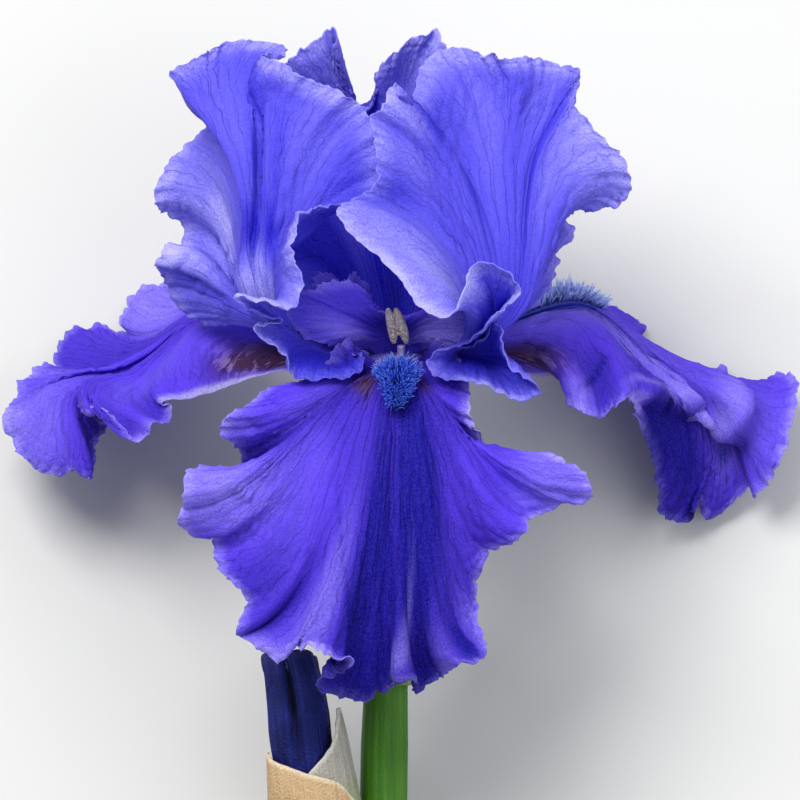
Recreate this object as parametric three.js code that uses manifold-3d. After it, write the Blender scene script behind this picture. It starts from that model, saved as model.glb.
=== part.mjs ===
// A bearded iris flower, picked with a short length of stem and the bud beside it, lying on its side.
// Everything is drawn with the flower upright and its front towards -Y: x to the right, y away from
// the front, z up, in millimetres from the heart, where the petals leave the tube. The whole flower
// is then laid down on its two side falls and the cut end of its stem, with its front face up.
import * as THREE from "three";
import { mergeVertices } from "three/addons/utils/BufferGeometryUtils.js";
import Module from "manifold-3d";

const wasm = await Module();
wasm.setup();

// Driving sizes
const PETAL_THICK = 0.7; // a live petal is thinner: this is the least that holds as a solid
const STYLE_THICK = 1.2;
const SPATHE_THICK = 0.6;
const SEAT_GAP = 0.3; // between pieces that touch
const CUT_Z = -125; // where the stem is cut
const STEM_RADIUS = 4.7;
const LIE_DEG = 18; // how far the stem slopes down to its cut end as the flower lies

const vector = (p) => new THREE.Vector3(...p);
const clamp = THREE.MathUtils.clamp;
const lerp = THREE.MathUtils.lerp;

// A smooth curve through hand-placed points, each the same step of t apart.
function through(points) {
  const curve = new THREE.CatmullRomCurve3(points.map(vector), false, "catmullrom", 0.5);
  return (t) => curve.getPoint(clamp(t, 0, 1));
}

// Closed solids

// A closed solid from vertices and triangles, turned so that its faces point out.
function solidFrom(vertices, triangles) {
  let six = 0;
  for (const [a, b, c] of triangles) {
    six += vertices[a].dot(new THREE.Vector3().crossVectors(vertices[b], vertices[c]));
  }
  const order = six < 0 ? triangles.map(([a, b, c]) => [a, c, b]) : triangles;
  const geometry = new THREE.BufferGeometry();
  geometry.setAttribute("position", new THREE.Float32BufferAttribute(vertices.flatMap((v) => v.toArray()), 3));
  geometry.setIndex(order.flat());
  return geometry;
}

// A thin sheet with two faces split alike, from a grid of points and its thickness at each.
function sheetSolid(grid, thickAt) {
  const last = grid.length - 1;
  const end = grid[0].length - 1;
  const columns = end + 1;
  const outer = [];
  const inner = [];
  grid.forEach((line, i) => {
    line.forEach((point, j) => {
      const along = grid[i][Math.min(j + 1, end)].clone().sub(grid[i][Math.max(j - 1, 0)]);
      const across = grid[Math.min(i + 1, last)][j].clone().sub(grid[Math.max(i - 1, 0)][j]);
      const normal = along.cross(across).normalize().multiplyScalar(thickAt(i / last, j / end) / 2);
      outer.push(point.clone().add(normal));
      inner.push(point.clone().sub(normal));
    });
  });
  const half = outer.length;
  const at = (i, j) => i * columns + j;
  const triangles = [];
  const wall = (a, b) => triangles.push([a, b, b + half], [a, b + half, a + half]);
  for (let i = 0; i < last; i++) {
    for (let j = 0; j < end; j++) {
      const [a, b, c, d] = [at(i, j), at(i + 1, j), at(i + 1, j + 1), at(i, j + 1)];
      triangles.push([a, c, b], [a, d, c], [a + half, b + half, c + half], [a + half, c + half, d + half]);
    }
  }
  for (let i = 0; i < last; i++) {
    wall(at(i, 0), at(i + 1, 0));
    wall(at(i + 1, end), at(i, end));
  }
  for (let j = 0; j < end; j++) {
    wall(at(0, j + 1), at(0, j));
    wall(at(last, j), at(last, j + 1));
  }
  return solidFrom([...outer, ...inner], triangles);
}

// A solid lofted through rings of points, closed at both ends.
function loftSolid(rings) {
  const sides = rings[0].length;
  const vertices = rings.flat();
  const triangles = [];
  for (let k = 0; k < rings.length - 1; k++) {
    for (let s = 0; s < sides; s++) {
      const [a, b] = [k * sides + s, k * sides + ((s + 1) % sides)];
      triangles.push([a, b, b + sides], [a, b + sides, a + sides]);
    }
  }
  const middle = (ring) => ring.reduce((sum, p) => sum.add(p), new THREE.Vector3()).divideScalar(sides);
  const [first, finish] = [vertices.push(middle(rings[0])) - 1, vertices.push(middle(rings.at(-1))) - 1];
  const top = (rings.length - 1) * sides;
  for (let s = 0; s < sides; s++) {
    const next = (s + 1) % sides;
    triangles.push([first, next, s], [finish, top + s, top + next]);
  }
  return solidFrom(vertices, triangles);
}

// Rings round a path: radiusAt(t, angle) in millimetres, angle 0 towards the front.
function ringsAlong(pathAt, radiusAt, steps, sides) {
  return Array.from({ length: steps + 1 }, (_, k) => {
    const t = k / steps;
    const centre = pathAt(t);
    const tangent = pathAt(Math.min(t + 0.02, 1)).sub(pathAt(Math.max(t - 0.02, 0))).normalize();
    const right = new THREE.Vector3(1, 0, 0).addScaledVector(tangent, -tangent.x).normalize();
    const front = new THREE.Vector3().crossVectors(right, tangent).multiplyScalar(-1);
    if (Math.abs(tangent.x) > 0.9) {
      right.set(0, 0, 1).addScaledVector(tangent, -tangent.z).normalize();
      front.crossVectors(right, tangent);
    }
    return Array.from({ length: sides }, (_, s) => {
      const angle = (2 * Math.PI * s) / sides;
      const radius = radiusAt(t, angle);
      return centre
        .clone()
        .addScaledVector(right, Math.sin(angle) * radius)
        .addScaledVector(front, Math.cos(angle) * radius);
    });
  });
}

const tubeSolid = (pathAt, radiusAt, steps, sides) => loftSolid(ringsAlong(pathAt, radiusAt, steps, sides));

// Joining and cutting
function toManifold(geometry) {
  const bare = geometry.clone();
  bare.deleteAttribute("normal");
  bare.deleteAttribute("uv");
  const merged = mergeVertices(bare, 1e-4);
  return new wasm.Manifold(
    new wasm.Mesh({
      numProp: 3,
      vertProperties: new Float32Array(merged.attributes.position.array),
      triVerts: new Uint32Array(merged.index.array),
    }),
  );
}

// The largest body of a cut or joined solid, as geometry.
function fromManifold(made) {
  const body = made.decompose().sort((a, b) => b.volume() - a.volume())[0];
  const mesh = body.getMesh();
  const geometry = new THREE.BufferGeometry();
  const position = new Float32Array(mesh.numVert * 3);
  for (let k = 0; k < mesh.numVert; k++) {
    position.set(mesh.vertProperties.subarray(k * mesh.numProp, k * mesh.numProp + 3), k * 3);
  }
  geometry.setAttribute("position", new THREE.BufferAttribute(position, 3));
  geometry.setIndex(new THREE.BufferAttribute(mesh.triVerts, 1));
  return geometry;
}

// Petals

// A petal is a fan of veins. Each vein leaves the claw along the rib and bends out to its own point
// of the margin. The margin is a curve through hand-placed points, from one corner of the claw
// round the tip to the other. Its ruffles fade inwards, so that the middle of the petal is smooth.
const SMOOTHING_POINTS = 3; // half the stretch of margin that its smoothed form averages
// A margin point may carry two more numbers: how late the vein to it leaves the rib's level, and how
// late it leaves the rib sideways.
const SIDE_POWER = 1.45;
const LEVEL_POWER = 2.1;
const RUFFLE_POWER = 3; // how near the margin the ruffles keep
const SWEEP_POWER = 1.9; // how early a vein has run its length of the rib, to meet the margin squarely

function petalSurface({ rib, margin, side, claw }) {
  const ribAt = through(rib);
  const edgeAt = through(margin.map((point) => point.slice(0, 3)));
  const sideways = vector(side).normalize();
  const clawSpread = vector(claw);
  const powersAt = (u) => {
    const place = clamp(u, 0, 1) * (margin.length - 1);
    const [before, after] = [Math.floor(place), Math.ceil(place)].map((k) => [
      margin[k][3] ?? LEVEL_POWER, margin[k][4] ?? SIDE_POWER]);
    return before.map((power, n) => lerp(power, after[n], place % 1));
  };
  const reach = SMOOTHING_POINTS / (margin.length - 1);
  const offsets = [-1, -0.5, 0, 0.5, 1].map((k) => k * reach);
  const smoothAt = (u) => {
    const sum = new THREE.Vector3();
    offsets.forEach((offset) => sum.add(edgeAt(u + offset)));
    return sum.divideScalar(offsets.length);
  };
  const RIB_STEPS = 80;
  const nearestOnRib = (point) => {
    let best = 0;
    for (let k = 1; k <= RIB_STEPS; k++) {
      const nearer = ribAt(k / RIB_STEPS).distanceTo(point) < ribAt(best / RIB_STEPS).distanceTo(point);
      if (nearer) best = k;
    }
    return best / RIB_STEPS;
  };
  const leavesAt = (u) => {
    const sum = offsets.reduce((total, offset) => total + nearestOnRib(smoothAt(clamp(u + offset, 0, 1))), 0);
    return sum / offsets.length;
  };
  // The vein that ends at u on the margin, as a function of v from the claw to the margin.
  return (u) => {
    const leaves = leavesAt(u);
    const powers = offsets.map((offset) => powersAt(u + offset));
    const [levelPower, sidePower] = [0, 1].map((n) => powers.reduce((sum, p) => sum + p[n], 0) / powers.length);
    const smooth = smoothAt(u);
    const spread = smooth.clone().sub(ribAt(leaves));
    const sidePart = sideways.clone().multiplyScalar(spread.dot(sideways));
    const levelPart = spread.clone().sub(sidePart);
    const rufflePart = edgeAt(u).sub(smooth);
    return (v) =>
      ribAt(leaves * (1 - (1 - v) ** SWEEP_POWER))
        .addScaledVector(clawSpread, (2 * u - 1) * (1 - v) ** 2)
        .addScaledVector(sidePart, v ** sidePower)
        .addScaledVector(levelPart, v ** levelPower)
        .addScaledVector(rufflePart, v ** RUFFLE_POWER);
  };
}

const MARGIN_CROWDING = 1.25; // rows lie closer together towards the margin

function petalGrid(shape, along) {
  const veinAt = petalSurface(shape);
  const across = shape.margin.length - 1;
  return Array.from({ length: across + 1 }, (_, i) => {
    const vein = veinAt(i / across);
    return Array.from({ length: along + 1 }, (_, j) => vein(1 - (1 - j / along) ** MARGIN_CROWDING));
  });
}

// The front fall hangs over the front of the flower. Its haft runs forward under the beard.
const FALL_FRONT = {
  side: [1, 0, 0],
  claw: [2.4, 0, 0],
  rib: [
    [0, -5, 1], [0, -10, 2.6], [0, -17, 2.4], [0, -24, 0.4], [0, -29.5, -4.5], [-0.4, -33, -14],
    [-1, -33.5, -30], [-2, -31, -47], [-2.5, -26, -61],
  ],
  margin: [
    [-2.6, -5.5, 1], [-6, -9.4, 3.2], [-8.4, -13.6, 4.2], [-10.4, -17, 3.2], [-14, -20, 1.6], [-19, -22.8, 0.6],
    [-24, -25.6, -0.2], [-27.8, -28, -2.4], [-30.4, -30, -4.8], [-33.6, -31, -5.6], [-35.2, -29, -8.2],
    [-33, -25, -10.8], [-31, -21, -13.6], [-31, -20, -17.4], [-34, -24, -18.6], [-38.4, -30, -16.8],
    [-41.4, -32, -16.8], [-42.4, -33, -21], [-42.2, -31, -24.8], [-43.4, -28, -26.6], [-40.8, -25, -29.2],
    [-37.2, -24, -27.4], [-36.6, -24, -31.6], [-35.6, -25, -36], [-32.6, -27, -39.4], [-29.6, -30, -43.4],
    [-31.6, -34, -47.8], [-30, -34, -50.6], [-26, -31, -53], [-22, -30, -54], [-18, -36, -52.4],
    [-13, -40, -53.6], [-8, -40, -55], [-10, -35, -57.8], [-15.8, -31, -60.6], [-11.6, -28, -62.4],
    [-7, -26, -62.6], [-2.4, -25, -61], [0.6, -29, -58.6], [3, -31, -59.6], [4.6, -27, -61.4],
    [8, -29, -59.2], [11.4, -33, -56.4], [15.4, -34, -55.6], [18, -33, -52], [16.6, -30, -47.6],
    [15.8, -26, -43], [16.2, -25, -38.6], [19, -28, -34], [23.4, -32, -31.2], [26, -34, -29],
    [26.4, -30, -26.8], [30.6, -26, -25], [35.4, -27, -23.6], [38.8, -29, -22], [38, -31, -18.2],
    [34.6, -29, -16.4], [31, -25, -14.4], [27, -21, -13.2], [22.4, -18, -14.6], [19.4, -20, -11.6],
    [17, -24, -7.6], [15, -25, -5.2], [14.6, -23.5, -2.8], [12.6, -20, 0.4], [9.6, -16, 3], [7.6, -12.6, 3.9],
    [5.4, -9, 3], [2.6, -5.5, 1],
  ],
};

// The left fall reaches out to the back left and rolls over towards the front along its near half.
const FALL_LEFT = {
  side: [0.35, 0.94, 0],
  claw: [-1.3, -2.2, 0],
  rib: [
    [-4.3, 2.5, 1], [-11, 6.5, 5], [-20, 11.5, 9.4], [-31, 17, 12.4], [-40.8, 21.5, 12.6], [-48.6, 24, 6],
    [-54.6, 24.5, 2], [-60.6, 23, 0.8], [-65, 18.6, -1.6], [-65.6, 14.6, -6.4], [-65, 13.6, -11.6],
    [-65.6, 15, -16],
  ],
  margin: [
    [-2.9, 4.8, 1], [-8, 11, 4.5], [-16, 20, 9], [-26, 31, 14], [-36, 41, 17.6], [-43, 47.6, 19.8],
    [-47, 51.6, 20.8], [-51, 53.4, 20], [-54, 52.2, 17.4], [-55, 49, 13.6], [-54.8, 46.6, 10.8],
    [-56.6, 48.4, 11.6], [-60, 50.8, 12.4], [-64.4, 50.4, 11.4], [-67.6, 47.6, 8.8], [-69, 43, 5.2],
    [-69, 40, 4], [-71, 38, 4.2], [-73.4, 35, 3], [-75, 33, 0.4], [-76, 30, -3.2], [-77.8, 30, -4.8],
    [-78.8, 28, -8], [-77, 25, -12.4], [-73.6, 21, -15.6], [-70.6, 19, -17.8], [-67, 16.4, -17.8],
    [-64, 15.4, -17.4], [-61.6, 15.4, -19.4], [-60.8, 17, -15.4], [-59.4, 18.6, -11.4], [-57.6, 19, -8.4],
    [-60, 15.6, -6.4], [-61.4, 11, -5], [-59.6, 8.6, -4.4], [-57.4, 7, -5.8], [-55.4, 4.4, -7.6],
    [-53.4, 0.8, -9.8], [-51.8, -2, -11.4], [-49.8, -1.6, -8.8], [-46.4, 0, -7.8], [-45, 3, -4.6],
    [-46.4, 3.6, -3.6], [-42, 3, -2.8], [-37, 4, -1.6], [-31, 4.5, 0.6], [-24, 3.5, 2.6], [-16, 1.5, 3],
    [-9, 0, 2], [-5.7, 0.2, 1],
  ],
};

// The right fall reaches out to the back right and its tip hangs down.
const FALL_RIGHT = {
  side: [-0.35, 0.94, 0],
  claw: [-1.3, 2.2, 0],
  rib: [
    [4.3, 2.5, 1], [11, 6.5, 6], [20, 11, 11], [31, 16, 15.2], [40, 20.4, 15.4], [47, 23, 9.6],
    [53.6, 25, 4], [60, 27, -0.6], [65.4, 30, -6], [68.4, 33, -14], [69.6, 35, -22],
  ],
  margin: [
    [5.7, 0.2, 1], [9, 0, 2.4], [15, 2, 3.6], [21, 4, 3.6], [26, 5, 2], [29.4, 5, 1.6], [32.4, 4, 2.2],
    [34.6, 2, 1.6], [35, 0, -1.6], [35.8, -3, -4.8], [37.6, -4, -6.2], [40.6, -3, -5.6], [44, -0.6, -3.4],
    [46.6, 3, -2.4], [46, 8, -2.8], [47.4, 14, -3.6], [49, 20, -8], [51, 25, -13], [52.2, 28, -19],
    [52.8, 30, -25], [55.2, 31.6, -27.3], [59.6, 31.6, -26.8], [60.2, 33.6, -20.6], [61.8, 36, -26.2],
    [64.8, 36, -26.4], [68.6, 35, -23], [71.4, 33.6, -21], [72.2, 32, -22.8], [75.4, 29, -19.6],
    [78.2, 27.4, -15], [79.8, 29, -8.6], [80.8, 34, -2], [80.4, 38, 2], [77, 41.6, 1.6], [74.4, 43.4, -0.4],
    [71, 44, -1], [67.4, 44.6, -0.8], [66.6, 46, 2.4], [64.4, 47, 1.6], [62, 46.4, -0.4], [59.4, 46.8, 1.6],
    [56.6, 47, 1.6], [53.6, 48, 3.6], [53.4, 48.8, 6], [51.8, 49.2, 7.2], [49.4, 49.8, 7.6],
    [49.6, 50.6, 10.8], [48.4, 51, 13.2], [45.6, 51.8, 14.8], [42, 50.8, 16.2], [36, 45, 17.6],
    [28, 35, 16.6], [18, 23, 12], [9, 11.5, 6], [2.9, 4.8, 1],
  ],
};

// The left standard rises from between the front and left falls and arches up.
const STANDARD_LEFT = {
  side: [1, 0, 0],
  claw: [0.9, -1.5, 0],
  rib: [
    [-4.8, -2.7, 1], [-11, -6.5, 6], [-20, -10.5, 10.5], [-27, -13.4, 16], [-30.4, -15.4, 24],
    [-31, -16.4, 33], [-33, -16.4, 42], [-36, -15, 49], [-39.4, -12.6, 55], [-42, -10, 59.4],
  ],
  margin: [
    [-5.8, -1, 1], [-12, -1, 7], [-20, 1, 11], [-30, 4, 12.6], [-38, 7, 12.4], [-42.8, 9, 14.6],
    [-45.6, 7.6, 19, 1.2, 2], [-47.6, 4, 22.4, 1, 2.4], [-48, 0, 25, 0.9, 2.6], [-45.8, 1, 26.6, 0.8, 2.6],
    [-43.6, 8, 28, 0.8, 2.6], [-43.4, 12, 31, 0.8, 2.6], [-45.4, 12, 34, 0.8, 2.6], [-48, 8, 36.2, 0.8, 2.6],
    [-48, 6, 39.4, 0.8, 2.6], [-46, 5, 44, 0.8, 2.6], [-42.6, 6, 47.8, 0.8, 2.6], [-39.2, 8, 50.6, 0.8, 2.6],
    [-37.6, 6, 51.6, 0.9, 2.2], [-40.8, -4, 55], [-43.6, -9, 59.6], [-45.2, -10, 62.4],
    [-41.6, -10, 64.2], [-37.4, -9, 66.6], [-33.8, -6, 68.4], [-28.8, -4, 68.8], [-24, -3, 68], [-21.6, -4, 66.6],
    [-24.8, -9, 66], [-26.4, -14, 65.4], [-23, -17, 64.4], [-18.4, -18, 61.4], [-13, -18, 59.2],
    [-8.4, -17, 56.8], [-5.2, -17, 53.4], [-4, -18, 49], [-3.4, -19, 44.6], [-4.6, -20, 40.6],
    [-10, -23, 39.2], [-14.6, -26, 38], [-18, -28, 34.6], [-20, -29, 30.6], [-20.6, -30, 26.6],
    [-19.2, -31, 22.6], [-18.8, -32, 18.4], [-21, -34, 15.2], [-26, -37, 16.4], [-31.6, -38, 17.6],
    [-29, -35, 14.8], [-23, -31, 12.8], [-25.6, -30, 11.8], [-27.4, -30, 11], [-25, -29, 8],
    [-21.6, -28.4, 5.8], [-20.8, -28, 3], [-19.6, -27.4, 1], [-15, -26, 0.9], [-10.2, -24.6, 1.4],
    [-7, -22.6, 2.8], [-6.2, -20, 5], [-8, -16, 6.2], [-7.2, -11.4, 6.4], [-5.4, -7.2, 5], [-3.8, -4.4, 1],
  ],
};

// The right standard leans in over the heart. Its near margin rolls open towards the front.
const STANDARD_RIGHT = {
  side: [1, 0, 0],
  claw: [0.9, 1.5, 0],
  rib: [
    [4.8, -2.7, 1], [11, -7, 5.5], [18.6, -11, 10], [23.6, -13.4, 17], [25, -14, 26], [25.6, -13.6, 36],
    [27, -12, 45], [30, -10.6, 52], [33.6, -9.6, 58.4],
  ],
  margin: [
    [3.8, -4.4, 1], [5.4, -7.4, 4.8], [7.2, -11.4, 6.6], [9.6, -15.4, 7.4], [13, -19, 7.4], [17.4, -22.6, 9],
    [19.2, -26, 12.6], [21.2, -29, 10], [21.6, -29.6, 5], [24.6, -30, 2.2], [28, -29, 0.2], [28.8, -27.5, -2],
    [25, -27, -2.8], [20.6, -27.4, -1.4], [16, -27.4, 0.6], [11.4, -26.4, 0.9], [7.4, -23.6, 2.2],
    [6, -22, 4.6], [9.4, -23.4, 7], [14.6, -27.6, 8.6], [18.8, -31, 12.8], [22.6, -34, 16.2],
    [24.8, -35, 18.8, 1.6, 1.5], [22.6, -35.5, 21.8, 1.4, 1.6], [18.6, -35, 24.2, 1.3, 1.7],
    [15, -34, 23.4, 1.2, 1.7], [13.4, -36, 18, 1.2, 1.8], [11.8, -39, 14.2, 1.2, 1.8],
    [8, -40, 13.4, 1.2, 1.8], [4, -40, 16, 1.2, 1.8], [0, -39, 21.4, 1.3, 1.7], [-4.6, -38, 26, 1.4, 1.6],
    [-9.2, -37, 30, 1.5, 1.5], [-12, -35, 33.4, 1.7, 1.5], [-10.4, -32, 36], [-5.6, -30, 38], [-3.4, -28, 41], [-4, -27, 46], [-5.2, -26, 51.4],
    [-4, -25.4, 55], [-1.2, -25.6, 58.2], [1.2, -25, 59.8], [2.4, -22.4, 58], [3.4, -19, 57.4],
    [4, -16, 61], [6.8, -13.6, 65.6], [11.4, -12, 67.4], [15.6, -12.6, 66.6], [19.4, -15, 65],
    [22.4, -13, 65], [26.4, -10, 65.4], [30.4, -8.6, 64.6], [34.4, -10, 63.8], [36.6, -11, 62.4],
    [36.4, -10.6, 59.6], [35.6, -10.6, 56.8], [38, -12.6, 53.2], [41.8, -13.6, 49.4], [45.8, -13.6, 45],
    [47, -12.4, 40.8], [45.6, -9.6, 36.6], [41.6, -7.6, 34.8], [37, -4, 35], [33, 1, 34], [32.2, 5, 32.8],
    [35, 5, 31.4], [34.4, 4.6, 28.6], [31.2, 4.6, 26.8], [32.4, 5, 24.4], [31, 4.6, 20],
    [27, 3.6, 15.6], [18, 2.5, 11], [10, 0, 6], [5.8, -1, 1],
  ],
};

// The back standard closes the flower behind. Its tip is notched between two tall shoulders.
const STANDARD_BACK = {
  side: [1, 0, 0],
  claw: [2, 0, 0],
  rib: [
    [0, 5.5, 1], [0, 12, 6], [0, 19, 14], [-1, 23, 27], [-2, 23.5, 41], [-4.5, 21, 52], [-7, 19, 56.5],
  ],
  margin: [
    [-2.2, 5.5, 1], [-6, 10, 7], [-13, 14, 12], [-21, 16, 19], [-26, 17, 27], [-29, 15, 36], [-28.6, 14, 45],
    [-26, 13, 54], [-24, 12, 62], [-19.6, 9, 67], [-16, 8, 69.4], [-12.8, 8, 71.4], [-12.2, 10, 67.4],
    [-11.8, 13, 62.4], [-10.6, 16, 58.2], [-7.4, 19, 55.8], [-4.8, 18, 57], [-3.8, 15, 61.4],
    [-2.6, 11, 65], [1, 8, 68], [4.6, 6, 69.6], [8, 5, 70.6], [10.2, 4.5, 67.6], [14, 7, 63], [19, 10, 56],
    [24, 13, 46], [26, 15, 36], [24, 16, 27], [19, 16, 19], [12, 14, 12], [6, 10, 7], [2.2, 5.5, 1],
  ],
};

const PETALS = [
  { name: "fall_front", shape: FALL_FRONT, along: 7, colour: 0x3b22b4 },
  { name: "fall_left", shape: FALL_LEFT, along: 6, colour: 0x4a35c4 },
  { name: "fall_right", shape: FALL_RIGHT, along: 6, colour: 0x4a35c4 },
  { name: "standard_left", shape: STANDARD_LEFT, along: 6, colour: 0x5546d2 },
  { name: "standard_right", shape: STANDARD_RIGHT, along: 6, colour: 0x5546d2 },
  { name: "standard_back", shape: STANDARD_BACK, along: 5, colour: 0x4334be },
];

const flower = new THREE.Group();

function addPiece(name, geometry, colour, roughness = 0.6) {
  const material = new THREE.MeshStandardMaterial({ color: colour, roughness, metalness: 0 });
  const mesh = new THREE.Mesh(geometry, material);
  mesh.name = name;
  flower.add(mesh);
  return mesh;
}

for (const { name, shape, along, colour } of PETALS) {
  addPiece(name, sheetSolid(petalGrid(shape, along), () => PETAL_THICK), colour);
}

// Style arms. One stands over each fall and ends in two upright crests.
const SIDE_TURN = 120; // degrees round the axis from the front fall to each side fall

const STYLE_FRONT = {
  side: [1, 0, 0],
  claw: [1.6, 0, 0],
  rib: [[0, -2, 6], [0, -5, 9.4], [0, -9, 12.6], [0, -12, 14.6], [0, -13.4, 16.4]],
  margin: [
    [-1.8, -2, 6], [-5, -4.4, 7], [-9, -8.8, 7.5], [-12.6, -13, 8.2], [-16.4, -15, 10], [-19, -16, 14],
    [-18.6, -16, 17.6], [-15.6, -15.6, 18.4], [-13.4, -15, 20.4], [-10.4, -14.4, 20.8], [-7, -13.4, 19.6],
    [-3.6, -12.6, 17.4], [0, -13, 16.6], [3, -12.6, 17.4], [5.6, -13.2, 19.2], [8, -14, 19.8],
    [10.2, -14.8, 18.4], [11.8, -15.4, 15.8], [12, -15, 12.4], [11.2, -13.4, 9.8], [9.4, -11, 8.4],
    [7.2, -8, 7.8], [4.6, -4.2, 7.2], [1.8, -2, 6],
  ],
};

const STYLE_SIDE = {
  side: [1, 0, 0],
  claw: [1.6, 0, 0],
  rib: [[0, -2, 6], [0, -4.4, 10], [0, -7.6, 14], [0, -10.6, 17.4], [0, -12.6, 20]],
  margin: [
    [-1.8, -2, 6], [-4.4, -3.6, 8.4], [-6.8, -7, 11], [-8.2, -10, 13.6], [-9, -11.8, 16.6], [-8.6, -13, 20],
    [-6.6, -13.6, 23], [-3.4, -12.8, 22], [0, -12.6, 20.2], [3.4, -12.8, 22], [6.6, -13.6, 23],
    [8.6, -13, 20], [9, -11.8, 16.6], [8.2, -10, 13.6], [6.8, -7, 11], [4.4, -3.6, 8.4], [1.8, -2, 6],
  ],
};

// Stamens. Each filament leaves the tube under its style arm and holds up a two-lobed anther.
const FILAMENT_FRONT = [[0, -3.5, 4.1], [0.3, -8, 5], [0.7, -13, 5], [1, -15.8, 5.8], [1, -16.8, 7.8]];
const ANTHER_FRONT = [[0.9, -17, 8.2], [0.2, -17.2, 11.6], [-0.9, -17, 15.3]];
const FILAMENT_SIDE = [[0, -3.5, 4.4], [0, -8, 7], [0, -12.4, 9.2], [0, -15, 11.2], [0, -15.8, 13.4]];
const ANTHER_SIDE = [[0, -15.9, 13.8], [0, -16.6, 17], [0, -18, 20.2]];
const FILAMENT_RADIUS = 0.75;
const ANTHER_HALF_WIDTH = 2.2;

function antherRadius(t, angle) {
  const lobes = 0.58 + 0.42 * Math.abs(Math.sin(angle)) ** 0.8;
  return ANTHER_HALF_WIDTH * lobes * (0.45 + 0.55 * Math.sin(Math.PI * clamp(t, 0.04, 0.96)) ** 0.45);
}

const turned = (geometry, degrees) => geometry.clone().rotateZ(THREE.MathUtils.degToRad(degrees));
const filamentSolid = (path) => tubeSolid(through(path), () => FILAMENT_RADIUS, 6, 6);
const antherSolid = (path) => tubeSolid(through(path), antherRadius, 6, 10);
const styleSide = sheetSolid(petalGrid(STYLE_SIDE, 4), () => STYLE_THICK);

addPiece("style_front", sheetSolid(petalGrid(STYLE_FRONT, 4), () => STYLE_THICK), 0x5a3fb8);
addPiece("filament_front", filamentSolid(FILAMENT_FRONT), 0x8f86c4);
addPiece("anther_front", antherSolid(ANTHER_FRONT), 0xb9a894);
for (const [place, degrees] of [["left", -SIDE_TURN], ["right", SIDE_TURN]]) {
  addPiece(`style_${place}`, turned(styleSide, degrees), 0x5a3fb8);
  addPiece(`filament_${place}`, turned(filamentSolid(FILAMENT_SIDE), degrees), 0x8f86c4);
  addPiece(`anther_${place}`, turned(antherSolid(ANTHER_SIDE), degrees), 0xb9a894);
}

// Beards. A slim core lies along the haft of each fall, with bristles standing out of it in all
// directions away from the petal, longest where the petal bends down.
const BRISTLE_RADIUS = 0.5;

function seeded(seed) {
  let state = seed;
  return () => {
    state = (Math.imul(state, 1664525) + 1013904223) >>> 0;
    return state / 4294967296;
  };
}

function bristleSolid(root, direction, length, turn) {
  const right = new THREE.Vector3(0.31, 0.2, 0.93).cross(direction).normalize();
  const front = new THREE.Vector3().crossVectors(direction, right);
  const ring = (distance, radius) =>
    [0, 1, 2].map((k) => {
      const angle = turn + (2 * Math.PI * k) / 3;
      return root
        .clone()
        .addScaledVector(direction, distance)
        .addScaledVector(right, Math.cos(angle) * radius)
        .addScaledVector(front, Math.sin(angle) * radius);
    });
  const tip = root.clone().addScaledVector(direction, length);
  return solidFrom([...ring(-0.4, BRISTLE_RADIUS), tip], [[0, 2, 1], [0, 1, 3], [1, 2, 3], [2, 0, 3]]);
}

function beardSolid({ path, away, halfWidth, halfHeight, rows, abreast, length, splay, seed }) {
  const pathAt = through(path);
  const awayAt = through(away);
  const draw = seeded(seed);
  const rings = Array.from({ length: 6 }, (_, k) => {
    const t = k / 5;
    const tangent = pathAt(t + 0.03).sub(pathAt(t - 0.03)).normalize();
    const up = awayAt(t).addScaledVector(tangent, -awayAt(t).dot(tangent)).normalize();
    const right = new THREE.Vector3().crossVectors(tangent, up);
    const taper = 0.35 + 0.65 * Math.sin(Math.PI * clamp(t, 0.06, 0.94)) ** 0.6;
    return Array.from({ length: 6 }, (_, s) => {
      const angle = (Math.PI * s) / 3;
      return pathAt(t)
        .addScaledVector(right, Math.cos(angle) * halfWidth * taper)
        .addScaledVector(up, halfHeight * taper * (1 + Math.sin(angle)));
    });
  });
  const solids = [toManifold(loftSolid(rings))];
  for (let row = 0; row < rows; row++) {
    for (let column = 0; column < abreast; column++) {
      const t = clamp((row + 0.35 + 0.4 * draw()) / rows, 0.04, 0.96);
      const lean = (column + 0.5 + 0.3 * (draw() - 0.5)) / abreast - 0.5;
      const tangent = pathAt(t + 0.03).sub(pathAt(t - 0.03)).normalize();
      const up = awayAt(t).addScaledVector(tangent, -awayAt(t).dot(tangent)).normalize();
      const right = new THREE.Vector3().crossVectors(tangent, up);
      const root = pathAt(t).addScaledVector(right, lean * halfWidth * 1.3).addScaledVector(up, halfHeight);
      const direction = up
        .clone()
        .addScaledVector(right, lean * splay)
        .addScaledVector(tangent, 0.7 * (t - 0.4) + 0.3 * (draw() - 0.5))
        .normalize();
      const reach = length * (0.72 + 0.28 * Math.sin(Math.PI * t)) * (0.85 + 0.3 * draw());
      solids.push(toManifold(bristleSolid(root, direction, reach, draw() * 2)));
    }
  }
  return fromManifold(wasm.Manifold.union(solids));
}

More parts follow.
